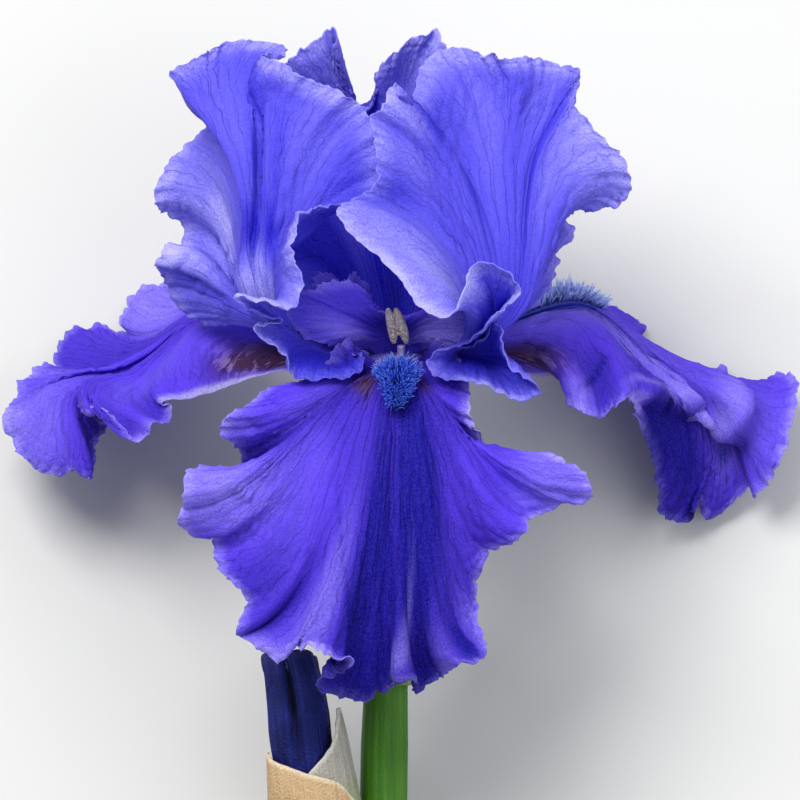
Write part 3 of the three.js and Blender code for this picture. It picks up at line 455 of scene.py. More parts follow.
def sheath_material(name, foot_colour, dry_colour, edge_colour, dry_from, dry_to, light_share):
    """Papery leaf: green or tan at the foot and dry above, with parallel veins."""
    material, tree, shader = new_material(name, Roughness=0.62)
    veins = fibre_mask(tree, reading(tree, "around"), reading(tree, "along"), fineness=2.4, length=26.0)
    patches = grain_mask(tree, size=5.0, low=0.3, high=0.7)
    fleck = grain_mask(tree, size=0.45, low=0.35, high=0.7)
    dryness = calc(tree, "ADD", reading(tree, "climb"), calc(tree, "MULTIPLY_ADD", patches, 0.35, -0.17))
    colour = tint(tree, ramp(tree, dryness, dry_from, dry_to), foot_colour, dry_colour)
    darker = tint(tree, 0.5, colour, SHEATH_VEIN)
    colour = tint(tree, calc(tree, "MULTIPLY", veins, 0.42), colour, darker)
    colour = tint(tree, calc(tree, "MULTIPLY", fleck, 0.22), colour, edge_colour)
    colour = tint(tree, ramp(tree, reading(tree, "rim"), 1.6, 0.1), colour, edge_colour)
    height = calc(tree, "MULTIPLY_ADD", patches, 1.5, calc(tree, "ADD", veins, fleck))
    normal = dress(tree, shader, colour, height, strength=0.7, distance=0.0003)
    let_light_through(tree, shader, colour, normal, light_share)
    return material


neck_paper = sheath_material(
    "neck_sheath", SHEATH_GREEN, SHEATH_DRY, SHEATH_EDGE, dry_from=0.35, dry_to=0.95, light_share=0.25)
for name, node, body, top, foot in (
        ("neck_sheath_outer", "sheath_outer", NECK_BODY_OUTER, NECK_TOP_OUTER, -60),
        ("neck_sheath_inner", "sheath_inner", NECK_BODY, NECK_TOP, -56)):
    grid, told = sheath_grid(body, top, foot, NECK_WAVES, *NECK_GRID)
    points, faces, corners, readings = sheet(grid, SHEATH_THICK, told)
    add_piece(name, points, faces, neck_paper, node, corners, readings)


# Bud. A bloom still furled, or spent and rolled up again: dark navy petals wound round each other and
# creased along their length, with a rolled lip and a hollow at the top and one deep slit in front.
BUD = [  # heights, the place of the axis, radii, and how deep the creases are
    (-95, -13.2, -3.2, 3, 0), (-90, -14.6, -3.4, 4.6, 0), (-83, -16.4, -3.6, 5.6, 0.03),
    (-76, -17.9, -3.8, 6, 0.05), (-70, -18.7, -4, 6.1, 0.07), (-65, -19.1, -4, 6, 0.08),
    (-60, -19.8, -4, 5.7, 0.1), (-56.4, -20.6, -4, 5.4, 0.11), (-54.2, -21, -4, 5.3, 0.12),
    (-53.4, -21, -4, 4.9, 0.12), (-54.2, -20.9, -4, 4.2, 0.12), (-57, -20.6, -4, 3.3, 0.1),
    (-59.5, -20.2, -4, 2.2, 0.1)]
BUD_STEPS, BUD_SIDES = 130, 120
BUD_FLATNESS = 0.86  # its depth over its width
BUD_MEAN_RADIUS = 5
SLIT_ANGLE, SLIT_WIDTH, SLIT_DEPTH = 6.1, 0.17, 0.32
BUD_NAVY = (0.007, 0.012, 0.125, 1)
BUD_BLUE = (0.022, 0.034, 0.260, 1)
BUD_BLACK = (0.003, 0.003, 0.012, 1)
BUD_DUST = (0.14, 0.15, 0.30, 1)

bud_material, tree, shader = new_material("bud_navy", Roughness=0.55, Specular_IOR_Level=0.12)
creases = fibre_mask(tree, reading(tree, "around"), reading(tree, "along"), fineness=1.3, length=22.0)
hazy = grain_mask(tree, size=6.0, low=0.42, high=0.75)
dust = grain_mask(tree, size=0.4, low=0.4, high=0.8)
colour = tint(tree, hazy, BUD_NAVY, BUD_BLUE)
colour = tint(tree, calc(tree, "MULTIPLY", creases, 0.5), colour, BUD_BLACK)
# The slit is painted near black: painted shade down in the deep slit.
colour = tint(tree, reading(tree, "slit"), colour, BUD_BLACK)
dusted = calc(tree, "MULTIPLY", calc(tree, "MULTIPLY", dust, reading(tree, "lip")), 0.55)
colour = tint(tree, dusted, colour, BUD_DUST)
dress(tree, shader, colour, calc(tree, "ADD", creases, dust), strength=0.7, distance=0.0004)

table = through(BUD)(np.linspace(0, 1, BUD_STEPS))
z, x, y, radius, crease = (table[:, n:n + 1] for n in range(5))
turn = np.linspace(0, 2 * np.pi, BUD_SIDES, endpoint=False)[None, :]
level = np.linspace(0, len(BUD) - 1, BUD_STEPS)[:, None]  # a row of the table, and the way between two
from_slit = np.angle(np.exp(1j * (turn - SLIT_ANGLE + 0.02 * level)))
slit = np.exp(-(from_slit / SLIT_WIDTH) ** 2) * np.clip((level - 3) / 2, 0, 1) * smoothstep(8.5, 7, level)
fold = (1 + crease * np.sin(3 * turn + 0.12 * level) + 0.4 * crease * np.sin(7 * turn) - SLIT_DEPTH * slit
        + 0.012 * np.sin(17 * turn + 0.6 * level) * np.clip(level / 3, 0, 1))
overlap = 0.05 * (((3 * turn / (2 * np.pi) + 0.11 * level) % 1) ** 6) * np.clip(level / 4, 0, 1)
fold = fold - overlap
bud = np.stack((x + np.sin(turn) * radius * fold, y - np.cos(turn) * radius * fold * BUD_FLATNESS,
                z + crease * 6 * np.sin(2 * turn + 0.7)), -1)
points, faces, corners = loft(bud)
add_piece("furled_bud", points, faces, bud_material, "bud", corners, {
    "around": np.broadcast_to(turn * BUD_MEAN_RADIUS, bud.shape[:2]), "along": points[:, 2], "slit": slit,
    "lip": np.broadcast_to(smoothstep(7, 8.6, level), bud.shape[:2])})


# Bud sheaths. A tan outer leaf, dry as paper and open to the right, and inside it a thin grey-white
# one whose point stands up at the right. They wrap the foot of the bud and the top of its branch.
BUD_BODY = [
    (-98, -12.1, -2.95, 3.6, 3.6), (-95, -13, -3.2, 4.3, 4.1), (-90, -14.2, -3.5, 6.6, 5.6),
    (-83, -15.8, -3.8, 8.6, 6.8), (-76, -16.8, -4, 8, 6.8), (-70, -17.6, -4.2, 7.6, 6.8),
    (-64, -18.6, -4.4, 7, 6.6)]
BUD_BODY_OUTER = [
    (-101, -11.2, -2.6, 3.7, 3.7), (-98, -12.1, -2.95, 4.7, 4.7), (-95, -13, -3.2, 5.4, 5.2),
    (-90, -14.2, -3.5, 7.7, 6.7), (-83, -15.8, -3.8, 9.7, 7.9), (-76, -16.8, -4, 9.1, 7.9),
    (-70, -17.6, -4.2, 8.7, 7.9)]
TAN_TOP = [
    (-190, -86), (-140, -78), (-100, -74.6), (-80, -73.4), (-50, -75.2), (-10, -77.4), (30, -79.4),
    (60, -84)]
GREY_TOP = [
    (-10, -78), (20, -74), (45, -70.4), (70, -65.4), (85, -64.6), (110, -68), (150, -74), (200, -82)]
BUD_SHEATH_GRID = (100, 50)
BUD_DRY_FROM, BUD_DRY_TO = 0.3, 0.85
TAN_COLOURS = (0.46, 0.25, 0.08, 1), (0.68, 0.45, 0.23, 1), (0.86, 0.70, 0.48, 1)  # foot, leaf and edge
GREY_COLOURS = (0.34, 0.46, 0.18, 1), (0.56, 0.54, 0.47, 1), (0.86, 0.83, 0.74, 1)

for name, node, body, top, foot, waves, colours, light_share in (
        ("bud_sheath_tan", "bud_sheath_outer", BUD_BODY_OUTER, TAN_TOP, -101, 0.05, TAN_COLOURS, 0.2),
        ("bud_sheath_grey", "bud_sheath_inner", BUD_BODY, GREY_TOP, -98, 0.02, GREY_COLOURS, 0.35)):
    grid, told = sheath_grid(body, top, foot, waves, *BUD_SHEATH_GRID)
    points, faces, corners, readings = sheet(grid, SHEATH_THICK, told)
    paper = sheath_material(name + "_paper", *colours, BUD_DRY_FROM, BUD_DRY_TO, light_share)
    add_piece(name, points, faces, paper, node, corners, readings)


# Falls. The three lower petals, broad blades on narrow hafts. Each is a thin velvety skin fanned out by
# veins that fork towards a ruffled margin. One hangs over the front. The two at the sides reach out to
# the back and roll over, with maroon streaks on their mauve hafts. All grow from the tube's rim.
SMOOTHING_POINTS = 3  # how many margin points to each side the smooth outline is averaged over
SWEEP_POWER = 1.9  # above 1, a vein first runs along the rib and then turns out to the margin
CROWDING = 1.25  # above 1, the steps along a vein are closer together at the margin
LEVEL_SIDE_RUFFLE = (2.1, 1.45, 3)  # how late along a vein its rise, its way to the side and its ruffle come
PETAL_THICK, RIM_THICK, RIM_WIDTH = 0.5, 0.18, 4
VEIN_RIDGE = 0.05
STILL_ENDS = 12  # how much of the margin at each end, by the claw, has no frill
CRIMP_POWER, FINE_CRIMP_POWER, FRILL_POWER = 7, 16, 12  # the higher, the nearer to the margin it begins
# Waves in the skin, each set with its lengths and its heights. The first three ruffle the margin.
CRIMP_WAVES = (2.3, 3.4, 5.2, 8.3), (0.5, 0.8, 1.0, 0.9)
FINE_CRIMP_WAVES = (1.3, 1.9), (0.25, 0.3)
FRILL_WAVES = (1.1, 1.7, 2.9, 6.1), (0.4, 0.6, 0.7, 0.6)
CRINKLE_WAVES = (3.1, 4.7, 7.9), (0.5, 0.8, 1.0)
CROSS_CRINKLE_WAVES = (4.3, 6.1, 9.7), (0.5, 0.8, 1.0)
FALL_FRONT = {
    "side": (1, 0, 0), "claw": (2.4, 0, 0),
    "rib": [
        (0, -5, 1), (0, -10, 2.6), (0, -17, 2.4), (0, -24, 0.4), (0, -29.5, -4.5), (-0.4, -33, -14),
        (-1, -33.5, -30), (-2, -31, -47), (-2.5, -26, -61)],
    "margin": [
        (-2.6, -5.5, 1), (-7, -9.4, 7.4), (-10.4, -13.4, 8.8), (-12.4, -17, 7), (-15, -20.2, 2.8),
        (-19, -22.8, 0.6), (-24, -25.6, -0.2), (-27.8, -28, -2.4), (-30.4, -30, -4.8),
        (-33.6, -31, -5.6, 1.9, 1.45, 4), (-35.2, -29, -8.2, 1.7, 1.5, 6), (-33, -25, -10.8, 1.6, 1.6, 8),
        (-31, -21, -13.6, 1.5, 1.6, 9), (-31, -20, -17.4, 1.5, 1.6, 9), (-34, -24, -18.6, 1.6, 1.6, 9),
        (-38.4, -30, -16.8, 1.7, 1.6, 7), (-41.4, -32, -16.8, 1.9, 1.6, 5), (-42.4, -33, -21, 2, 1.5, 4),
        (-42.2, -31, -24.8), (-43.4, -28, -26.6), (-40.8, -25, -29.2), (-37.2, -24, -27.4),
        (-36.6, -24, -31.6), (-35.6, -25, -36), (-32.6, -27, -39.4), (-29.6, -30, -43.4),
        (-31.6, -34, -47.8), (-30, -34, -50.6), (-26, -31, -53, 2.1, 1.45, 4),
        (-22, -30, -54, 2.1, 1.45, 6), (-18, -36, -52.4, 2.1, 1.45, 8), (-13.6, -40, -53.8, 2.1, 1.45, 9),
        (-8.4, -40.5, -54.8, 2.1, 1.45, 9), (-10, -36, -57.6, 2.1, 1.45, 9),
        (-15.4, -32, -60.6, 2.1, 1.45, 8), (-11.6, -28, -62.4, 2.1, 1.45, 6),
        (-7, -26, -62.6, 2.1, 1.45, 5), (-2.4, -25, -61, 2.1, 1.45, 5), (0.6, -29, -58.6, 2.1, 1.45, 5),
        (3, -31, -59.6, 2.1, 1.45, 5), (4.6, -27, -61.4, 2.1, 1.45, 5), (8, -29, -59.2), (11.4, -33, -56.4),
        (15.4, -34, -55.6), (18, -33, -52), (16.6, -30, -47.6), (15.8, -26, -43), (16.2, -25, -38.6),
        (19, -28, -34), (23.4, -32, -31.2), (26, -34, -29), (26.4, -30, -26.8), (30.6, -26, -25),
        (35.4, -27, -23.6), (38.8, -29, -22, 1.6, 1.7, 3), (38, -31, -18.2, 1.2, 2.2, 4),
        (34.6, -29, -15.8, 1, 2.8, 5), (31, -26, -14.2, 0.9, 3.2, 6), (26.6, -24, -14.8, 0.8, 3.6, 6),
        (21.2, -21, -18, 0.8, 3.2, 6), (18.2, -20, -13.8, 1, 2.4, 5), (16.2, -24, -9, 1.5, 1.8, 4),
        (15, -25, -5.2), (14.8, -23.5, -2), (13.6, -20, 2.4), (11.6, -16, 6.6), (9.4, -12.6, 8.4),
        (6.6, -9, 7.2), (2.6, -5.5, 1)]}
FALL_LEFT = {
    "side": (0.35, 0.94, 0), "claw": (-1.3, -2.2, 0),
    "rib": [
        (-4.3, 2.5, 1), (-11, 6.5, 5), (-20, 11.5, 9.4), (-31, 17, 12.4), (-40.8, 21.5, 12.6),
        (-48.6, 24, 6), (-54.6, 24.5, 2), (-60.6, 23, 0.8), (-65, 18.6, -1.6), (-65.6, 14.6, -6.4),
        (-65, 13.6, -11.6), (-65.6, 15, -16)],
    "margin": [
        (-2.9, 4.8, 1), (-8, 11, 4.5), (-16, 20, 9), (-26, 31, 14), (-36, 41, 17.6), (-43, 47.6, 19.8),
        (-47, 51.6, 20.8), (-51, 53.4, 20), (-54, 52.2, 17.4), (-55, 49, 13.6), (-54.8, 46.6, 10.8),
        (-56.6, 48.4, 11.6), (-60, 50.8, 12.4), (-64.4, 50.4, 11.4), (-67.6, 47.6, 8.8), (-69, 43, 5.2),
        (-69, 40, 4), (-71, 38, 4.2), (-73.4, 35, 3), (-75, 33, 0.4), (-76, 30, -3.2), (-77.8, 30, -4.8),
        (-78.8, 28, -8), (-77, 25, -12.4), (-73.6, 21, -15.6), (-70.6, 19, -17.8), (-67, 16.4, -17.8),
        (-64, 15.4, -17.4), (-61.6, 15.4, -19.4), (-60.8, 17, -15.4), (-59.4, 18.6, -11.4),
        (-57.6, 19, -8.4), (-60, 15.6, -6.4), (-61.4, 11, -5), (-59.6, 8.6, -4.4), (-57.4, 7, -5.8),
        (-55.4, 4.4, -7.6), (-53.4, 0.8, -9.8), (-51.8, -2, -11.4), (-49.8, -1.6, -8.8), (-46.4, 0, -7.8),
        (-45, 3, -4.6), (-46.4, 3.6, -3.6), (-42, 3, -2.8), (-37, 4, -1.6), (-31, 4.5, 0.6),
        (-24, 3.5, 2.6), (-16, 1.5, 3), (-9, 0, 2), (-5.7, 0.2, 1)]}
FALL_RIGHT = {
    "side": (-0.35, 0.94, 0), "claw": (-1.3, 2.2, 0),
    "rib": [
        (4.3, 2.5, 1), (11, 6.5, 6), (20, 11, 11), (31, 16, 15.2), (40, 20.4, 15.4), (47, 23, 9.6),
        (53.6, 25, 4), (60, 27, -0.6), (65.4, 30, -6), (68.4, 33, -14), (69.6, 35, -22)],
    "margin": [
        (5.7, 0.2, 1), (9, 0, 2.4), (15, 2, 3.6), (21, 4, 3.6), (26, 5, 2), (29.4, 5, 1.6), (32.4, 4, 2.2),
        (34.6, 2, 1.6), (35, 0, -1.6), (35.8, -3, -4.8), (37.6, -4, -6.2), (40.6, -3, -5.6),
        (44, -0.6, -3.4), (46.6, 3, -2.4), (46, 8, -2.8), (47.4, 14, -3.6), (49, 20, -8), (51, 25, -13),
        (52.2, 28, -19), (52.8, 30, -25), (55.2, 31.6, -27.3), (59.6, 31.6, -26.8), (60.2, 33.6, -20.6),
        (61.8, 36, -26.2), (64.8, 36, -26.4), (68.6, 35, -23), (71.4, 33.6, -21), (72.2, 32, -22.8),
        (75.4, 29, -19.6), (78.2, 27.4, -15), (79.8, 29, -8.6), (80.8, 34, -2), (80.4, 38, 2),
        (77, 41.6, 1.6), (74.4, 43.4, -0.4), (71, 44, -1.4), (68.4, 44.6, -2.2), (66.4, 46, 3),
        (64.6, 47, 2.2), (62.6, 46.4, -1.4), (60, 46.8, 2.6), (56.6, 47, 1.2), (53.6, 48, 3.6),
        (53.4, 48.8, 6), (51.8, 49.2, 7.2), (49.4, 49.8, 7.6), (49.6, 50.6, 10.8), (48.4, 51, 13.2),
        (45.6, 51.8, 14.8), (42, 50.8, 16.2), (36, 45, 17.6), (28, 35, 16.6), (18, 23, 12), (9, 11.5, 6),
        (2.9, 4.8, 1)]}


def wander(s, seed, lengths, heights):
    """Even, unrepeated waves along s, each of its own length and height."""
    phase = np.random.default_rng(seed).uniform(0, 2 * np.pi, len(lengths))
    return sum(h * np.sin(2 * np.pi * s / w + p) for w, h, p in zip(lengths, heights, phase))


def petal_grid(shape, fine, along):
    """The petal's skin as a grid, with lines of points that fan out from the claw to the margin.

    A shape has the direction that it is wide in, called its side, half the claw's width as a vector, a
    middle line called its rib, and the margin's points. A margin point may say how late its rise, its way
    to the side and its ruffle come. fine is the steps between two margin points, along those of a line.
    """
    margin = np.array([point[:3] for point in shape["margin"]], float)
    last = len(margin) - 1
    powers = np.array([
        tuple(point[3:]) + LEVEL_SIDE_RUFFLE[len(point) - 3:] for point in shape["margin"]], float)
    edge_at, rib_at = through(margin), through(shape["rib"])
    side, claw = unit(np.array(shape["side"], float)), np.array(shape["claw"], float)
    u = np.linspace(0, 1, last * fine + 1)
    offsets = np.linspace(-1, 1, 5) * SMOOTHING_POINTS / last
    stations = np.linspace(0, 1, 401)
    rib_points = rib_at(stations)

    def smooth_at(where):
        """The margin without its ruffles."""
        return np.mean([edge_at(where + offset) for offset in offsets], axis=0)

    def nearest(where):
        """Where on the rib the margin is nearest to it."""
        return stations[np.linalg.norm(rib_points[None] - smooth_at(where)[:, None], axis=-1).argmin(1)]

    leaves = np.mean([nearest(np.clip(u + offset, 0, 1)) for offset in offsets], axis=0)
    soften = np.hanning(2 * fine + 3)
    leaves = np.convolve(np.pad(leaves, fine + 1, mode="edge"), soften / soften.sum(), "valid")
    places = [np.clip(u + offset, 0, 1) * last for offset in offsets]
    level_power, side_power, ruffle_power = (
        np.mean([np.interp(place, np.arange(last + 1), powers[:, n]) for place in places], axis=0)
        for n in range(3))
    smooth = smooth_at(u)
    spread = smooth - rib_at(leaves)
    side_part = (spread @ side)[:, None] * side
    level_part, ruffle_part = spread - side_part, edge_at(u) - smooth
    v = 1 - (1 - np.linspace(0, 1, along + 1)) ** CROWDING

    def part(vectors, power):
        return vectors[:, None] * (v[None, :, None] ** np.broadcast_to(power, u.shape)[:, None, None])

    grid = (rib_at(leaves[:, None] * (1 - (1 - v[None]) ** SWEEP_POWER))
            + claw * ((2 * u[:, None] - 1) * (1 - v[None]) ** 2)[..., None]
            + part(side_part, side_power) + part(level_part, level_power) + part(ruffle_part, ruffle_power))
    return u, v, grid


def lengths_along(grid, axis):
    """The length run along each line of a grid."""
    steps = np.linalg.norm(np.diff(grid, axis=axis), axis=-1)
    return np.insert(np.cumsum(steps, axis=axis), 0, 0, axis=axis)


def petal(name, shape, material, node, veins, seed, pleats=(), folds=(), pale=(), deep=(), haft=(),
          white=(), calm=(), fine=8, along=44, crimp=0.34, frill=0.22, crinkle=0.15, thick=PETAL_THICK):
    """Makes one petal: its skin, what stands out of it, its thickness and its paint.

    Places on the skin are a margin point, counted from 0, and a reach from 0 at the claw to 1 at the margin.
    A pleat runs out from the claw. It has its margin point, or two between which it slants, its half width
    on either side in margin points, the reach where it starts and where it is full, and its height there
    and at the margin. A fold crosses the veins. It has the places that it runs through, its half width
    before and after it in reach, and its height. A dab of pale, deep, haft or white paint has its margin
    point, its reach, its half width in margin points, its half length in reach, and its amount. The
    margin is frilled less where it is calm: a margin point, a half width and an amount.
    """
    u, v, grid = petal_grid(shape, fine, along)
    point = (u * (len(shape["margin"]) - 1))[:, None]
    reach = v[None]

    def beside(place):
        return point - (np.interp(reach, (0, 1), place) if isinstance(place, tuple) else place)

    along_margin = lengths_along(grid, 0)[:, -1:]
    whole_margin = along_margin[-1]
    away = unit(np.cross(np.gradient(grid, axis=1), np.gradient(grid, axis=0)))
    outward = unit(np.gradient(grid, axis=1))
    lively = np.minimum(smoothstep(0, STILL_ENDS, along_margin),
                        smoothstep(whole_margin, whole_margin - STILL_ENDS, along_margin))
    for place, wide, amount in calm:
        lively = lively * (1 - amount * np.exp(-np.abs((point - place) / wide) ** 3))
    lift = wander(along_margin, seed, *CRIMP_WAVES) * crimp * reach**CRIMP_POWER
    lift = lift + wander(along_margin, seed + 1, *FINE_CRIMP_WAVES) * crimp * reach**FINE_CRIMP_POWER
    lift = lift + (np.cos(2 * np.pi * u[:, None] * veins) * VEIN_RIDGE * smoothstep(0.15, 0.5, reach)
                   * (1 - reach**4))
    along_vein, across = lengths_along(grid, 1), along_margin * reach
    lift = lift + crinkle * smoothstep(0.12, 0.4, reach) * (
        wander(across + 0.5 * along_vein, seed + 4, *CRINKLE_WAVES)
        * wander(along_vein - 0.4 * across, seed + 5, *CROSS_CRINKLE_WAVES))
    lift = lift * lively
    for place, before, after, start, full, height, last_height in pleats:
        bulge = np.exp(-(beside(place) / np.where(beside(place) < 0, before, after)) ** 2)
        lift = lift + bulge * (height * smoothstep(start, full, reach)
                               + (last_height - height) * smoothstep(full, 1.001, reach))
    for path, before, after, height in folds:
        at, heights = np.array(path).T
        beyond = reach - np.interp(point, at, heights)
        fading = smoothstep(at[0] - 0.6, at[0] + 1.2, point) * smoothstep(at[-1] + 0.6, at[-1] - 3, point)
        lift = lift + height * fading * np.exp(-(beyond / np.where(beyond < 0, before, after)) ** 2)
    grid = grid + away * lift[..., None]
    fringe = wander(along_margin, seed + 2, *FRILL_WAVES) * frill * reach**FRILL_POWER * lively
    grid = grid + outward * fringe[..., None]

    # Pale and white dabs lay pale pigment and painted highlights on lit ridges and faces; deep dabs lay dark
    # pigment and painted shade in pockets, valleys and the throat.
    def paint(dabs):
        total = np.zeros(grid.shape[:2])
        for place, height, wide, tall, amount in dabs:
            total = total + amount * np.exp(
                -np.abs(beside(place) / wide) ** 3 - np.abs((reach - height) / tall) ** 3)
        return np.clip(total, 0, 1)

    along_vein = lengths_along(grid, 1)
    rim = along_vein[:, -1:] - along_vein
    told = {
        "vein": np.broadcast_to(u[:, None] * veins, rim.shape), "reach": np.broadcast_to(reach, rim.shape),
        "spacing": np.linalg.norm(np.gradient(grid, axis=0), axis=-1) * (len(u) - 1) / veins, "rim": rim,
        "along": along_vein, "pale": paint(pale), "deep": paint(deep), "haft": paint(haft),
        "white": paint(white)}
    thickness = RIM_THICK + (thick - RIM_THICK) * smoothstep(0, RIM_WIDTH, rim)
    points, faces, corners, readings = sheet(grid, thickness, told)
    add_piece(name, points, faces, material, node, corners, readings)


# The veins group. Each vein forks on its way to the margin, and its lines grow finer. A net of finer
# lines fills in between them in the outer part of the petal.
petal_veins, given, result = new_group(
    "petal veins", {"Vein": 0.0, "Reach": 0.0, "Spacing": 1.0, "Along": 0.0, "Width": 0.3, "Wander": 0.3},
    {"Mask": "NodeSocketFloat", "Net": "NodeSocketFloat"})
g = petal_veins
place = put(g, "ShaderNodeCombineXYZ", {
    0: calc(g, "MULTIPLY", given["Vein"], 0.9), 1: calc(g, "MULTIPLY", given["Along"], 0.16)}).outputs[0]
drift = put(g, "ShaderNodeTexNoise", {"Vector": place, "Scale": 1.0, "Detail": 3.0}).outputs[0]
strand = calc(
    g, "ADD", given["Vein"], calc(g, "MULTIPLY", calc(g, "SUBTRACT", drift, 0.5), given["Wander"]))
# Each vein is a whole number of the wandering coordinate. It parts in two, and each half parts again.
cell = calc(g, "ROUND", strand)
offset = calc(g, "SUBTRACT", strand, cell)
chance = put(g, "ShaderNodeTexWhiteNoise", {"W": cell}, noise_dimensions="1D").outputs["Value"]
half_cell = calc(g, "MULTIPLY_ADD", cell, 2.0, calc(g, "GREATER_THAN", offset, 0.0))
second = put(g, "ShaderNodeTexWhiteNoise", {"W": half_cell}, noise_dimensions="1D").outputs["Value"]
line = calc(g, "ABSOLUTE", offset)
for chosen, start, spare, length, half_gap in (
        (chance, 0.2, 0.3, 0.35, 0.25), (second, 0.5, 0.3, 0.3, 0.125)):
    begin = calc(g, "MULTIPLY_ADD", chosen, spare, start)
    parted = ramp(g, given["Reach"], begin, calc(g, "ADD", begin, length), 0.0, half_gap)
    line = calc(g, "ABSOLUTE", calc(g, "SUBTRACT", line, parted))
# Its width in millimetres, finer towards the margin, and fainter in some of the lines.
distance = calc(g, "MULTIPLY", line, given["Spacing"])
width = calc(g, "MULTIPLY", given["Width"], calc(g, "MULTIPLY_ADD", given["Reach"], -0.6, 1.0))
mask = ramp(g, distance, calc(g, "MULTIPLY", width, 0.25), width, 1.0, 0.0)
place = put(g, "ShaderNodeCombineXYZ", {
    0: calc(g, "MULTIPLY", half_cell, 3.7), 1: calc(g, "MULTIPLY", given["Along"], 0.13)}).outputs[0]
lively = put(g, "ShaderNodeTexNoise", {"Vector": place, "Scale": 1.0, "Detail": 1.0}).outputs[0]
g.links.new(calc(g, "MULTIPLY", mask, ramp(g, lively, 0.28, 0.68, 0.25, 1.0)), result["Mask"])
# The net: the edges of long cells that lie along the veins.
place = put(g, "ShaderNodeCombineXYZ", {
    0: calc(g, "MULTIPLY", strand, 5.0), 1: calc(g, "MULTIPLY", given["Along"], 0.42)}).outputs[0]
meshes = put(g, "ShaderNodeTexVoronoi", {"Vector": place, "Scale": 1.0}, voronoi_dimensions="2D",
             feature="DISTANCE_TO_EDGE").outputs["Distance"]
net = calc(g, "MULTIPLY", ramp(g, meshes, 0.0, 0.13, 1.0, 0.0), ramp(g, given["Reach"], 0.35, 0.8))
g.links.new(net, result["Net"])

# The petal colour group lays the petal's colours over each other: body, depth, pallor, haft, veins, rim.
# Depth holds painted shade as well as dark pigment, and pallor and white hold painted highlights as well as
# pale pigment.
petal_colour, given, result = new_group("petal colour", {
    "Body": (0.1, 0.1, 0.8, 1), "Deep Colour": (0.02, 0.01, 0.4, 1), "Pale Colour": (0.4, 0.4, 0.9, 1),
    "Vein Colour": (0.02, 0.01, 0.3, 1), "Haft Colour": (0.6, 0.5, 0.6, 1),
    "Haft Vein Colour": (0.1, 0.02, 0.03, 1), "Edge Colour": (0.7, 0.7, 0.95, 1),
    "White Colour": (0.6, 0.6, 0.8, 1), "Vein": 0.0, "Net": 0.0, "Streak": 0.0, "Speck": 0.0, "Rim": 10.0,
    "Deep": 0.0, "Pale": 0.0, "Haft": 0.0, "White": 0.0, "Rim Pallor": 0.5, "Rim Reach": 6.0,
    "Vein Strength": 0.7, "Edge Strength": 0.8}, {"Color": "NodeSocketColor"})
g = petal_colour
# The rim's pallor, broken up by the streaks, and the pale dabs with their painted highlights. Neither shows
# on the deep parts.
near_rim = put(g, "ShaderNodeMapRange", {0: given["Rim"], 1: 0.0, 2: given["Rim Reach"], 3: 1.0, 4: 0.0},
               interpolation_type="SMOOTHERSTEP").outputs[0]
pallor = calc(g, "MULTIPLY", calc(g, "MULTIPLY", near_rim, near_rim), given["Rim Pallor"])
pallor = calc(g, "MULTIPLY", pallor, calc(g, "MULTIPLY_ADD", given["Streak"], 1.0, 0.5))
pallor = calc(g, "ADD", pallor, given["Pale"])
pallor = calc(g, "MULTIPLY", pallor, calc(g, "MULTIPLY_ADD", given["Deep"], -0.7, 1.0))
mottle = calc(g, "MULTIPLY_ADD", given["Speck"], 0.55, calc(g, "MULTIPLY_ADD", given["Streak"], 0.5, 0.45))
pallor = put(g, "ShaderNodeClamp", {0: calc(g, "MULTIPLY", pallor, mottle)}).outputs[0]
# Deep paint: the dark pigment, and painted shade in pockets, valleys and the throat.
colour = tint(g, given["Deep"], given["Body"], given["Deep Colour"])
colour = tint(g, calc(g, "MULTIPLY", given["Streak"], 0.25), colour, given["Deep Colour"])
colour = tint(g, calc(g, "MULTIPLY", given["Speck"], 0.06), colour, given["Pale Colour"])
colour = tint(g, pallor, colour, given["Pale Colour"])
# The haft has streaks of its own, over the ground colour.
haft = calc(g, "MAXIMUM", calc(g, "MULTIPLY", ramp(g, given["Streak"], 0.32, 0.54), 0.88), given["Deep"])
haft = tint(g, haft, given["Haft Colour"], given["Haft Vein Colour"])
colour = tint(g, given["Haft"], colour, haft)
# Veins and net, stronger on the deep parts and on the haft.
dark = tint(g, given["Haft"], given["Vein Colour"], given["Haft Vein Colour"])
strength = calc(g, "MULTIPLY", given["Vein Strength"], calc(g, "MULTIPLY_ADD", given["Deep"], 0.8, 0.6))
strength = calc(g, "MULTIPLY", strength, calc(g, "MULTIPLY_ADD", pallor, -0.12, 1.0))
strength = calc(g, "MAXIMUM", strength, calc(g, "MULTIPLY", given["Haft"], 0.95))
lines = calc(g, "MAXIMUM", given["Vein"], calc(g, "MULTIPLY", given["Net"], 0.11))
colour = tint(g, calc(g, "MULTIPLY", lines, strength), colour, dark)
# The thin bright edge, and the white dabs: pale lips and rims, and painted highlights.
edge = ramp(g, calc(g, "MULTIPLY_ADD", given["Speck"], 0.5, given["Rim"]), 0.7, 0.15)
edge = calc(g, "MULTIPLY", edge, calc(g, "MULTIPLY_ADD", given["Deep"], -0.8, 1.0))
colour = tint(g, calc(g, "MULTIPLY", edge, given["Edge Strength"]), colour, given["Edge Colour"])
bleached = calc(g, "MULTIPLY", given["White"], calc(g, "MULTIPLY_ADD", given["Speck"], 0.5, 0.55))
colour = tint(g, bleached, colour, given["White Colour"])
g.links.new(colour, result["Color"])


